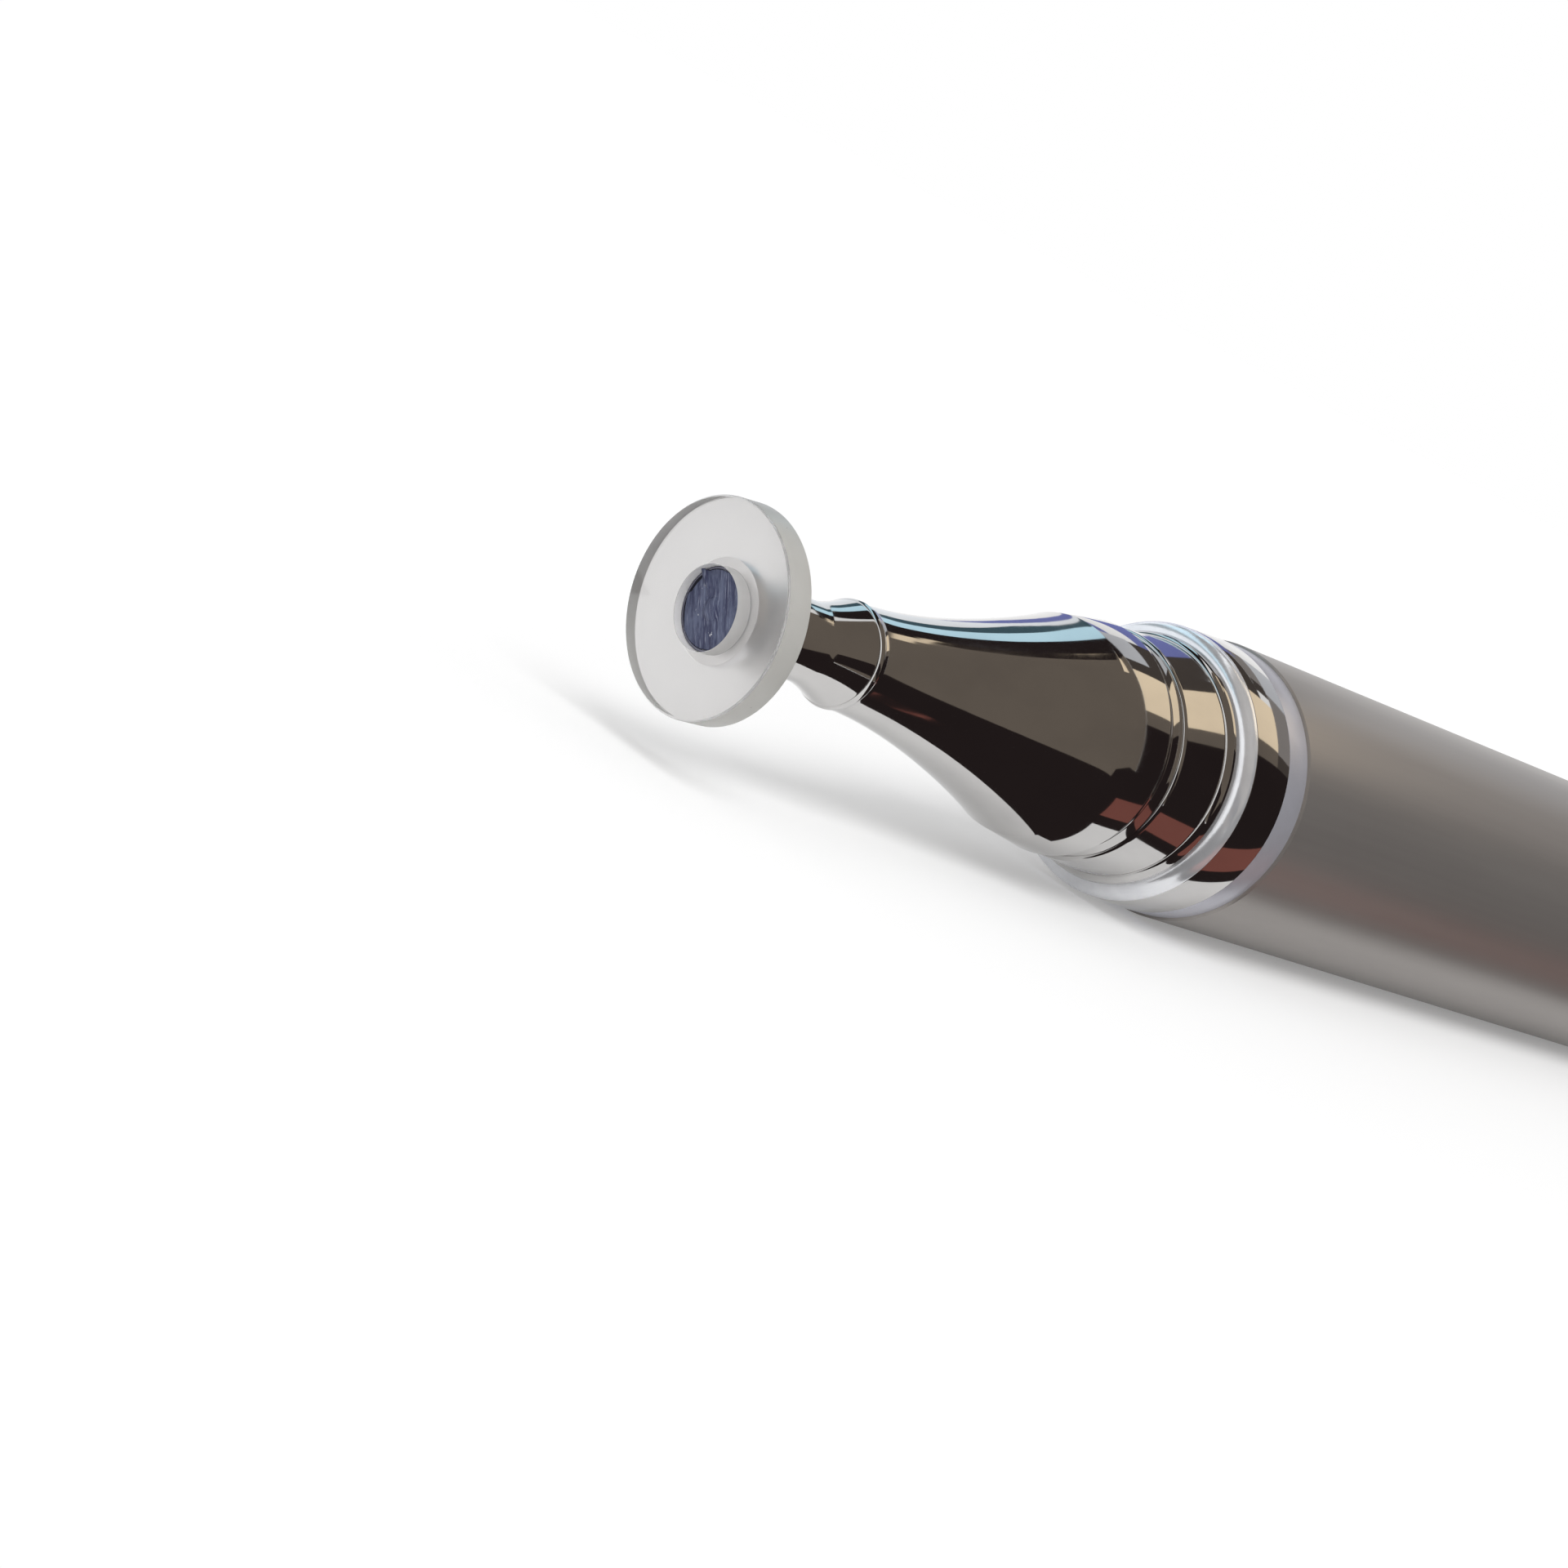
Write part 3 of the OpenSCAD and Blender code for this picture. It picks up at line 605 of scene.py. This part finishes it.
# %% Turn the nose
NECK_BORE_RADIUS = 1.36
RING_BORE_RADIUS = 2.92
LIP_RADIUS = 1.67
LIP_ROUND = 0.14
FLARE_FRONT_RADIUS = 1.62
FLARE_LENGTH = 9.9
FLARE_START, FLARE_END = (0.42, 0.02), (0.95, 0.90)
BAND_FRONT_RADIUS = 3.56
BAND_REAR_RADIUS = 3.82
HOLLOW = 0.9
HOLLOW_DEPTH = 0.2
THREAD_LENGTH = 1.5
hollow_floor = BAND_REAR_RADIUS - HOLLOW_DEPTH
lip_centre_r = LIP_RADIUS - LIP_ROUND
lip_end = math.degrees(math.asin((FLARE_FRONT_RADIUS - lip_centre_r) / LIP_ROUND))
flare_x = lip_x + LIP_ROUND * (1 + math.cos(math.radians(lip_end)))
band_x = flare_x + FLARE_LENGTH


def hollow_half(edge_radius, side):
    """Half of the round hollow: side -1 falls to its floor, side 1 rises from it."""
    half, depth = HOLLOW / 2, edge_radius - hollow_floor
    radius = (half * half + depth * depth) / (2 * depth)
    reach = math.degrees(math.asin(half / radius))
    start, end = (270 - reach, 270) if side < 0 else (270, 270 + reach)
    return arc(hollow_middle_x, hollow_floor + radius, radius, start, end)


nose = turned("nose", [
    (hollow_middle_x - THREAD_LENGTH - SEAT_GAP, NECK_BORE_RADIUS), (lip_x, NECK_BORE_RADIUS)]
    + arc(lip_x + LIP_ROUND, lip_centre_r, LIP_ROUND, 180, lip_end, steps=20)
    + curve((flare_x, FLARE_FRONT_RADIUS), (band_x, BAND_FRONT_RADIUS), FLARE_START, FLARE_END)[1:]
    + hollow_half(BAND_REAR_RADIUS, -1)
    + [(hollow_middle_x, RING_BORE_RADIUS), (hollow_middle_x - THREAD_LENGTH - SEAT_GAP, RING_BORE_RADIUS)])
soften(nose, SOFT_EDGE)
nose.data.materials.append(bright.material)
fit(nose, "pen", "bright_metal", "nose_cone")

# %% [markdown]
# ## The stepped rings
# Behind the nose come a band with a bright rounded front edge, two rounded steps with a fine groove between
# them, and a collar. Each is a ring of its own, clamped between nose and barrel.

# %% Turn the second band and its step
SECOND_FRONT_RADIUS = 3.81
SECOND_REAR_RADIUS = 3.93
SECOND_EDGE = 0.12
SECOND_LENGTH = 2.1
STEP_LENGTH = 0.45
FIRST_STEP_RADIUS = 4.15
GROOVE = 0.06
COLLAR_FRONT_RADIUS = 4.58
COLLAR_REAR_RADIUS = 4.64
second_x = hollow_middle_x + HOLLOW / 2
first_step_x = second_x + SECOND_LENGTH
second_step_x = first_step_x + STEP_LENGTH
collar_x = second_step_x + STEP_LENGTH


def rounded_step(x, length, low, high, steps=14):
    """A quarter round that rises from a low to a high radius over a length."""
    turns = [math.pi / 2 * i / steps for i in range(steps + 1)]
    return [(x + length * (1 - math.cos(a)), low + (high - low) * math.sin(a)) for a in turns]


second_band = turned("second_band", [(hollow_middle_x, RING_BORE_RADIUS)]
    + hollow_half(SECOND_FRONT_RADIUS - SECOND_EDGE, 1)
    + arc(second_x + SECOND_EDGE, SECOND_FRONT_RADIUS - SECOND_EDGE, SECOND_EDGE, 180, 90)[1:]
    + rounded_step(first_step_x, STEP_LENGTH - GROOVE, SECOND_REAR_RADIUS, FIRST_STEP_RADIUS)
    + [(second_step_x, FIRST_STEP_RADIUS - GROOVE), (second_step_x, RING_BORE_RADIUS)])
soften(second_band, THIN_EDGE)
second_band.data.materials.append(bright.material)
fit(second_band, "pen", "bright_metal", "band_ring")

# %% Turn the second step, the collar and the rim
step = turned("second_step", [(second_step_x, RING_BORE_RADIUS)]
    + rounded_step(second_step_x, STEP_LENGTH, FIRST_STEP_RADIUS - GROOVE, COLLAR_FRONT_RADIUS)
    + [(collar_x, RING_BORE_RADIUS)])
soften(step, THIN_EDGE)
step.data.materials.append(frosted_painted_highlight.material)
fit(step, "pen", "bright_metal", "step_ring")

rim_low, rim_high = place("barrel_rim")
rim_x, barrel_x = rim_low.x, rim_high.x
BARREL_RADIUS = 4.71
BARREL_EDGE = 0.08
collar = turned("plated_collar", [
    (collar_x, RING_BORE_RADIUS), (collar_x, COLLAR_FRONT_RADIUS), (rim_x, COLLAR_REAR_RADIUS),
    (rim_x, RING_BORE_RADIUS)])
soften(collar, SOFT_EDGE)
collar.data.materials.append(bright.material)
fit(collar, "pen", "bright_metal", "collar")

rim = turned("pale_rim", [
    (rim_x, RING_BORE_RADIUS), (rim_x, COLLAR_REAR_RADIUS), (barrel_x, BARREL_RADIUS - BARREL_EDGE),
    (barrel_x, RING_BORE_RADIUS)])
soften(rim, SOFT_EDGE)
rim.data.materials.append(pale.material)
fit(rim, "pen", "pale_metal", "barrel_rim")

# %% [markdown]
# ## The barrels and the ring between them
# The two tubes have a small chamfer at each end. The ring between them is plated, with two grooves, and
# lies a little below the barrels' surface.

# %% Turn the barrels
BORE_RADIUS = 4.07


def barrel(name, node):
    """A satin tube in the place of a CAD barrel."""
    low, high = place(node)
    tube = turned(name, [
        (low.x, BORE_RADIUS), (low.x, BARREL_RADIUS - BARREL_EDGE), (low.x + BARREL_EDGE, BARREL_RADIUS),
        (high.x - BARREL_EDGE, BARREL_RADIUS), (high.x, BARREL_RADIUS - BARREL_EDGE), (high.x, BORE_RADIUS)])
    soften(tube, SOFT_EDGE)
    tube.data.materials.append(satin.material)
    fit(tube, "pen", "satin_barrel", node)


barrel("front_tube", "front_barrel")
barrel("rear_tube", "rear_barrel")

# %% Turn the ring between the barrels
RING_GROOVE = 0.2
ring_low, ring_high = place("mid_ring")
ring_length = ring_high.x - ring_low.x
ring_radius = ring_high.y


def groove(middle):
    """The four corners of a groove cut square into the ring."""
    floor_radius = ring_radius - RING_GROOVE
    start, end = middle - RING_GROOVE / 2, middle + RING_GROOVE / 2
    return [(start, ring_radius), (start, floor_radius), (end, floor_radius), (end, ring_radius)]


mid_ring = turned("middle_ring", [
    (ring_low.x, BORE_RADIUS), (ring_low.x, ring_radius - BARREL_EDGE),
    (ring_low.x + BARREL_EDGE, ring_radius)]
    + groove(ring_low.x + ring_length / 4) + groove(ring_high.x - ring_length / 4)
    + [(ring_high.x - BARREL_EDGE, ring_radius), (ring_high.x, ring_radius - BARREL_EDGE),
       (ring_high.x, BORE_RADIUS)])
soften(mid_ring, BROAD_EDGE)
mid_ring.data.materials.append(bright.material)
fit(mid_ring, "pen", "bright_metal", "mid_ring")

# %% [markdown]
# ## The rear end
# A band carries the clip in a slot, a rounded step leads down to the end cap, and the cap tapers to a flat
# end.

# %% Turn the clip band and cut its slot
CLIP_THICKNESS = 0.7
CLIP_ROOT_WIDTH = 3.4
CLIP_CLEAR = 0.15
CLIP_ROOT_DEPTH = 1.1
clip_low, clip_high = place("clip_band")
clip_pivot = Vector(joints["clip_spring"]["pos_m"]) / MM
clip_root_x = clip_pivot.x
clip_out = Vector((0, clip_pivot.y, clip_pivot.z)).normalized()
clip_turn = Matrix((Vector((1, 0, 0)), clip_out.cross(Vector((1, 0, 0))), clip_out)).transposed().to_4x4()
clip_band = turned("clip_carrier", [
    (clip_low.x, RING_BORE_RADIUS), (clip_low.x, BARREL_RADIUS - BARREL_EDGE),
    (clip_low.x + BARREL_EDGE, BARREL_RADIUS), (clip_high.x - BARREL_EDGE, BARREL_RADIUS),
    (clip_high.x, BARREL_RADIUS - BARREL_EDGE), (clip_high.x, RING_BORE_RADIUS)])
bpy.ops.mesh.primitive_cube_add(size=MM)
slot_cutter = bpy.context.object
slot_cutter.matrix_world = clip_turn @ Matrix.Translation(
    Vector((clip_root_x, 0, BARREL_RADIUS)) * MM) @ Matrix.Diagonal(
    (CLIP_THICKNESS + 2 * CLIP_CLEAR, CLIP_ROOT_WIDTH + 2 * CLIP_CLEAR,
     2 * (CLIP_ROOT_DEPTH + CLIP_CLEAR), 1))
bpy.context.view_layer.update()
apply(clip_band, "BOOLEAN", object=slot_cutter, operation="DIFFERENCE", solver="EXACT")
bpy.data.objects.remove(slot_cutter)
soften(clip_band, BROAD_EDGE)
clip_band.data.materials.append(bright.material)
fit(clip_band, "pen", "bright_metal", "clip_band")

# %% Turn the rear ring and the end cap
REAR_STEP = 0.7
CAP_FRONT_RADIUS = 4.25
CAP_REAR_RADIUS = 2.7
CAP_ROUND = 0.8
CAP_THREAD = 5.0
TAPER_START, TAPER_END = (0.45, 0.05), (0.85, 0.55)
cap_low, cap_high = place("end_cap")
cap_x, cap_end_x = cap_low.x, cap_high.x
rear_ring = turned("rear_step", [(cap_x, RING_BORE_RADIUS)]
    + [(cap_x - x, r) for x, r in rounded_step(0, REAR_STEP, CAP_FRONT_RADIUS, BARREL_RADIUS - BARREL_EDGE)]
    + [(cap_x - REAR_STEP, RING_BORE_RADIUS)])
soften(rear_ring, SOFT_EDGE)
rear_ring.data.materials.append(bright.material)
fit(rear_ring, "pen", "bright_metal", "rear_ring")

cap = turned("end_cap_turned", curve(
    (cap_x, CAP_FRONT_RADIUS), (cap_end_x - CAP_ROUND, CAP_REAR_RADIUS + CAP_ROUND), TAPER_START, TAPER_END)
    + arc(cap_end_x - CAP_ROUND, CAP_REAR_RADIUS, CAP_ROUND, 90, 0)[1:]
    + [(cap_end_x, 0.0), (cap_x + CAP_THREAD, 0.0), (cap_x + CAP_THREAD, RING_BORE_RADIUS),
       (cap_x, RING_BORE_RADIUS)])
soften(cap, BROAD_EDGE)
cap.data.materials.append(bright.material)
fit(cap, "pen", "bright_metal", "end_cap")

# %% [markdown]
# ## The clip
# The clip is a strip of sheet metal, bent at its root and at its toe. It is drawn from the side as one edge
# that is extruded along the bends, and each new edge is made narrower towards the round tip. Solidify gives
# it its thickness, and a bevel breaks its edges, as tumbling does on real clips.

# %% Draw the clip
CLIP_LENGTH = 34.0
CLIP_TIP_WIDTH = 2.6
CLIP_GAP = 1.3
TOE_LENGTH = 3.2
TOE_LIFT = 1.0
TOE_FRONT_SHARE = 0.45
BEND = 0.9
TIP_LEAST = 0.05
TIP_STEPS = 10
CLIP_EDGE = 0.12
CLIP_SHARP = 50
clip_tip_x = clip_root_x - CLIP_LENGTH
arm_r = BARREL_RADIUS + CLIP_GAP
toe_low_x = clip_tip_x + TOE_LENGTH * TOE_FRONT_SHARE
toe_low_r = BARREL_RADIUS + CLIP_CLEAR
toe_end_r = toe_low_r + TOE_LIFT - CLIP_CLEAR


def bent(corners, radius, steps=8):
    """A path through corners, with each inner corner rounded by a quadratic bend."""
    path = [corners[0]]
    for before, corner, after in zip(corners, corners[1:], corners[2:]):
        a, b, c = Vector(before), Vector(corner), Vector(after)
        start = b + (a - b).normalized() * min(radius, (a - b).length / 2)
        end = b + (c - b).normalized() * min(radius, (c - b).length / 2)
        for i in range(steps + 1):
            t = i / steps
            path.append(tuple(start * (1 - t) ** 2 + b * 2 * t * (1 - t) + end * t * t))
    return path + [corners[-1]]


def clip_half_width(x):
    """Half the clip's width: a straight taper that ends in a half circle."""
    tip = CLIP_TIP_WIDTH / 2
    root_edge_x = clip_root_x + CLIP_THICKNESS
    share = (x - clip_tip_x - tip) / (root_edge_x - clip_tip_x - tip)
    straight = tip + (CLIP_ROOT_WIDTH / 2 - tip) * share
    if x >= clip_tip_x + tip:
        return straight
    return math.sqrt(max(tip ** 2 - (clip_tip_x + tip - x) ** 2, TIP_LEAST ** 2))


side_path = bent([
    (clip_root_x - CLIP_THICKNESS / 2, BARREL_RADIUS - CLIP_ROOT_DEPTH),
    (clip_root_x - CLIP_THICKNESS / 2, arm_r), (clip_tip_x + TOE_LENGTH, arm_r),
    (toe_low_x, toe_low_r), (clip_tip_x, toe_end_r)], BEND)
tip_start = Vector(side_path[-2])
tip_end = Vector(side_path[-1])
tip_turns = [math.pi / 2 * i / TIP_STEPS for i in range(1, TIP_STEPS + 1)]
side_path[-1:] = [tuple(tip_start.lerp(tip_end, math.sin(a))) for a in tip_turns]
clip = start_mesh("spring_clip")
bpy.ops.mesh.merge(type="CENTER")
x, r = side_path[0]
half = clip_half_width(x)
bpy.ops.transform.translate(value=(x * MM, -half * MM, r * MM))
bpy.ops.mesh.extrude_region_move(TRANSFORM_OT_translate={"value": (0, 2 * half * MM, 0)})
bpy.ops.mesh.select_all(action="SELECT")
for next_x, next_r in side_path[1:]:
    next_half = clip_half_width(next_x)
    bpy.ops.mesh.extrude_region_move(
        TRANSFORM_OT_translate={"value": ((next_x - x) * MM, 0, (next_r - r) * MM)})
    bpy.ops.transform.resize(value=(1, next_half / half, 1), center_override=(0, 0, 0))
    x, r, half = next_x, next_r, next_half
bpy.ops.mesh.select_all(action="SELECT")
bpy.ops.mesh.normals_make_consistent(inside=False)
bpy.ops.object.mode_set(mode="OBJECT")
underside = sum(face.normal.z for face in clip.data.polygons)
apply(clip, "SOLIDIFY", thickness=CLIP_THICKNESS * MM, offset=1.0 if underside > 0 else -1.0)
only(clip)
bpy.ops.object.mode_set(mode="EDIT")
bpy.ops.mesh.select_all(action="SELECT")
bpy.ops.mesh.normals_make_consistent(inside=False)
bpy.ops.object.mode_set(mode="OBJECT")
soften(clip, CLIP_EDGE, segments=4, sharp=CLIP_SHARP)
only(clip)
clip.matrix_world = clip_turn
bpy.ops.object.transform_apply(location=True, rotation=True, scale=True)
clip.data.materials.append(bright.material)
fit(clip, "clip", "bright_metal", "clip")

# %% [markdown]
# ## The pieces inside
# The stud with its ball shows between disc and neck. The rest is hidden in the pen and shows only when the
# pen is taken apart, so the CAD shapes stay and get their finishes.

# %% Finish the CAD nodes that stay
for paint, names in (
        (steel, ("ball_stud", "nib_retainer", "contact_spring")),
        (brass, ("nib_sleeve", "nose_insert", "mid_coupler", "balance_weight", "rear_insert")),
        (rubber, ("nose_seal", "rear_seal"))):
    for name in names:
        nodes[name].data.materials.clear()
        nodes[name].data.materials.append(paint.material)
print("finished the inner pieces")

# %% [markdown]
# ## Table and light
# The table and the background are white. The table is half lit and half glowing, so it stays white and
# still shows the pen's soft shadow. A broad sun and an even sky light the pen from above, at a level at
# which a colour looks as it is written.

# %% Lay the table and hang the lights
TABLE_WHITE = 0.8
TABLE_GLOW = 0.24
SKY_FILL = 0.62
SUN_STRENGTH = 1.35
SUN_TURN_X, SUN_TURN_Y, SUN_SPREAD = 28, -22, 40
TABLE_METRES = 4


def seen(tree):
    """1 for what the eye, a mirror or a lens sees, and 0 for what only lights the scene."""
    path = tree.nodes.new("ShaderNodeLightPath")
    total = path.outputs["Is Camera Ray"]
    for name in ("Is Glossy Ray", "Is Transmission Ray"):
        both = tree.nodes.new("ShaderNodeMath")
        both.operation = "MAXIMUM"
        tree.links.new(total, both.inputs[0])
        tree.links.new(path.outputs[name], both.inputs[1])
        total = both.outputs[0]
    return total


bpy.ops.object.select_all(action="DESELECT")
bpy.ops.mesh.primitive_plane_add(size=TABLE_METRES, location=(0, 0, cad_low.z))
table = bpy.context.object
table.name = "table"
white = Paint("white_table", Base_Color=(TABLE_WHITE, TABLE_WHITE, TABLE_WHITE, 1), Roughness=0.9,
              Specular_IOR_Level=0.0, Emission_Color=(1, 1, 1, 1))
glow = white.tree.nodes.new("ShaderNodeMath")
glow.operation = "MULTIPLY"
glow.inputs[1].default_value = TABLE_GLOW
white.tree.links.new(seen(white.tree), glow.inputs[0])
white.tree.links.new(glow.outputs[0], white.shader.inputs["Emission Strength"])
table.data.materials.append(white.material)

world = bpy.data.worlds.new("white_room")
bpy.context.scene.world = world
world.use_nodes = True
sky = world.node_tree.nodes["Background"]
sky.inputs["Color"].default_value = (1, 1, 1, 1)
level = world.node_tree.nodes.new("ShaderNodeMapRange")
level.inputs["To Min"].default_value = SKY_FILL
world.node_tree.links.new(seen(world.node_tree), level.inputs["Value"])
world.node_tree.links.new(level.outputs["Result"], sky.inputs["Strength"])

bpy.ops.object.light_add(type="SUN", rotation=(math.radians(SUN_TURN_X), math.radians(SUN_TURN_Y), 0))
sun = bpy.context.object
sun.name = "soft_sun"
sun.data.energy = SUN_STRENGTH
sun.data.angle = math.radians(SUN_SPREAD)
sun.visible_glossy = False

# %% [markdown]
# ## What the plating mirrors
# Bright metal shows only its surroundings, and in an all-white room it would look like grey plaster. So
# dark and pale cards are hung round the pen, as a photographer of cutlery does: the plating comes out
# mostly dark, with pale strips along both edges. Only what shines sees the cards, so the table and the
# background stay white. The satin barrel shows them too, blurred. Their tones are named here as the plating
# shows them, and the light that each takes is worked out from that.

# %% Name the tones of the cards
PLATING_SHINE = 0.61
BLACK = (36, 31, 31)
SMOKE = (62, 57, 54)
STONE = (90, 83, 76)
PEBBLE = (112, 108, 106)
SILVER = (160, 162, 166)
PEARL = (200, 204, 208)
IVORY = (206, 189, 163)
SKY = (170, 202, 216)
TEAL = (58, 76, 84)
RUST = (104, 66, 60)
VIOLET = (94, 99, 146)
print("mixed 11 tones for the cards")

# %% Helpers that hang a card
CARD_STEP = 3


def shown_as(red, green, blue):
    """The light for which the plating shows a colour, given from 0 to 255."""
    return tuple((value / 255) ** 2.2 / PLATING_SHINE for value in (red, green, blue))


def as_card(piece, colour):
    """Lets only shiny surfaces see a piece, and gives it its light."""
    bpy.ops.object.mode_set(mode="OBJECT")
    paint = Paint(piece.name, Base_Color=(0, 0, 0, 1), Roughness=1.0, Specular_IOR_Level=0.0,
                  Emission_Color=(*shown_as(*colour), 1), Emission_Strength=1.0)
    piece.data.materials.append(paint.material)
    piece.visible_camera = piece.visible_diffuse = piece.visible_shadow = False
    piece.visible_transmission = piece.visible_volume_scatter = False


def round_card(name, colour, radius, edge, height):
    """A card curved round the X axis. One edge goes through points (x, angle), counted from +Y towards +Z."""
    piece = start_mesh(name)
    bpy.ops.mesh.merge(type="CENTER")
    turns = [(x, math.radians(angle)) for x, angle in edge]
    points = [Vector((x, radius * math.cos(a), radius * math.sin(a))) * MM for x, a in turns]
    bpy.ops.transform.translate(value=points[0])
    for before, after in zip(points, points[1:]):
        bpy.ops.mesh.extrude_region_move(TRANSFORM_OT_translate={"value": after - before})
    bpy.ops.mesh.select_all(action="SELECT")
    bpy.ops.mesh.spin(steps=max(round(abs(height) / CARD_STEP), 2), angle=-math.radians(height),
                      center=(0, 0, 0), axis=(1, 0, 0))
    as_card(piece, colour)


def low_card(name, colour, lift, corners):
    """A flat card just above the table, through corners (x, y)."""
    piece = start_mesh(name)
    bpy.ops.mesh.merge(type="CENTER")
    points = [Vector((x * MM, y * MM, cad_low.z + lift * MM)) for x, y in corners]
    bpy.ops.transform.translate(value=points[0])
    for before, after in zip(points, points[1:]):
        bpy.ops.mesh.extrude_region_move(TRANSFORM_OT_translate={"value": after - before})
    bpy.ops.mesh.select_all(action="SELECT")
    bpy.ops.mesh.edge_face_add()
    as_card(piece, colour)


# %% [markdown]
# ## Hanging the cards
# A card that hangs a little nearer to the pen covers what is behind it, so a few layers are enough. Each
# round card has a name, a tone, a layer, its upper edge as places along X and degrees from +Y towards +Z,
# and the degrees that it reaches down from there. The low cards lie just above the table. All stand where
# the plating mirrors them to the camera at the place that the photograph shows.

# %% Hang the cards round the neck and the nose
CARD_RADIUS = 20.0
BACK, MIDDLE, NEARER, NEAREST = 0.06, 0.0, -0.04, -0.08
LOW, HIGHER, HIGHEST = 0.08, 0.10, 0.14
NECK_FRONT, NOSE_FRONT, RING_FRONT = -66.0, -28.4, -22.8
top_edge = [(NECK_FRONT, 66), (-52, 62), (-31, 46), (-28.5, 42), (NOSE_FRONT, 61), (-24.5, 57),
            (RING_FRONT, 51)]
for name, tone, behind, edge, height in (
        ("nose_stone", STONE, BACK, [(NECK_FRONT, 90), (NOSE_FRONT, 88), (RING_FRONT, 82)], 104),
        ("nose_black", BLACK, NEARER,
         [(NECK_FRONT, 160), (-53, 162), (-33, 171), (-31.5, 187), (-28, 181), (-25, 176),
          (RING_FRONT, 178)], 20),
        ("nose_sky", SKY, NEARER, top_edge, 13),
        ("nose_teal", TEAL, NEARER, top_edge, -10),
        ("nose_pearl", PEARL, MIDDLE, [(NECK_FRONT, 10), (-21.6, 10)], 50),
        ("nose_top_black", BLACK, MIDDLE, [(x, angle + 11) for x, angle in top_edge], 22),
        ("nose_ivory", IVORY, NEAREST, [(-26.6, 90), (-24.6, 90)], 12),
        ("neck_ivory", IVORY, NEAREST, [(-27.3, 87), (-26.7, 87)], 10)):
    round_card(name, tone, CARD_RADIUS + behind, edge, height)
for name, tone, lift, corners in (
        ("nose_low_black", BLACK, LOW,
         [(-66, -20), (-52.6, -11.2), (-43.1, -4.3), (-41, -2.1), (-33.5, -2), (-32.3, -5.2), (-27.3, -14),
          (-22.6, -20)]),
        ("nose_low_rust", RUST, HIGHEST, [(-39.9, -4.2), (-38.6, -5.7), (-37.7, -7.2), (-39, -5.4)])):
    low_card(name, tone, lift, corners)
print("hung the cards round the nose")

# %% Hang the cards round the rings and the barrel
RING_REAR, PEN_REAR = -5.0, 140.0
for name, tone, edge, height in (
        ("ring_black", BLACK, [(RING_FRONT, 140), (PEN_REAR, 140)], 53),
        ("ring_stone", STONE, [(RING_FRONT, 129), (RING_REAR, 129)], 11),
        ("ring_ivory", IVORY, [(RING_FRONT, 96), (RING_REAR, 96)], 33),
        ("ring_smoke", SMOKE, [(RING_FRONT, 86), (-10.6, 86), (-10.5, 79), (RING_REAR, 79)], 10),
        ("band_silver", SILVER, [(RING_FRONT, 58), (-16.4, 58)], 28),
        ("second_smoke", SMOKE, [(-16.4, 60), (-10.6, 60)], 26),
        ("collar_pebble", PEBBLE, [(-10.5, 50), (RING_REAR, 50)], 29),
        ("barrel_silver", SILVER, [(RING_REAR, 50), (PEN_REAR, 50)], 34),
        ("barrel_pebble", PEBBLE, [(RING_REAR, 84), (PEN_REAR, 84)], 46),
        ("barrel_smoke", SMOKE, [(RING_REAR, 130), (PEN_REAR, 130)], 10),
        ("step_violet", VIOLET, [(-21.6, 22), (-19.6, 22)], 36),
        ("second_violet", VIOLET, [(-14, 20), (-8.5, 20)], 40)):
    round_card(name, tone, CARD_RADIUS, edge, height)
for name, tone, lift, corners in (
        ("low_black", BLACK, HIGHER,
         [(-32.5, -5.2), (PEN_REAR, -5.2), (PEN_REAR, -20.5), (-22.5, -20.5), (-27.5, -14)]),
        ("low_rust", RUST, HIGHEST, [(-31.8, -6.6), (PEN_REAR, -6.6), (PEN_REAR, -12), (-28.5, -12)]),
        ("low_smoke_behind", SMOKE, HIGHER, [(-60, 16), (PEN_REAR, 16), (PEN_REAR, 60), (-60, 60)])):
    low_card(name, tone, lift, corners)
print("hung the cards round the rings")

# %% Set the standard view transform
bpy.context.scene.view_settings.view_transform = "Standard"
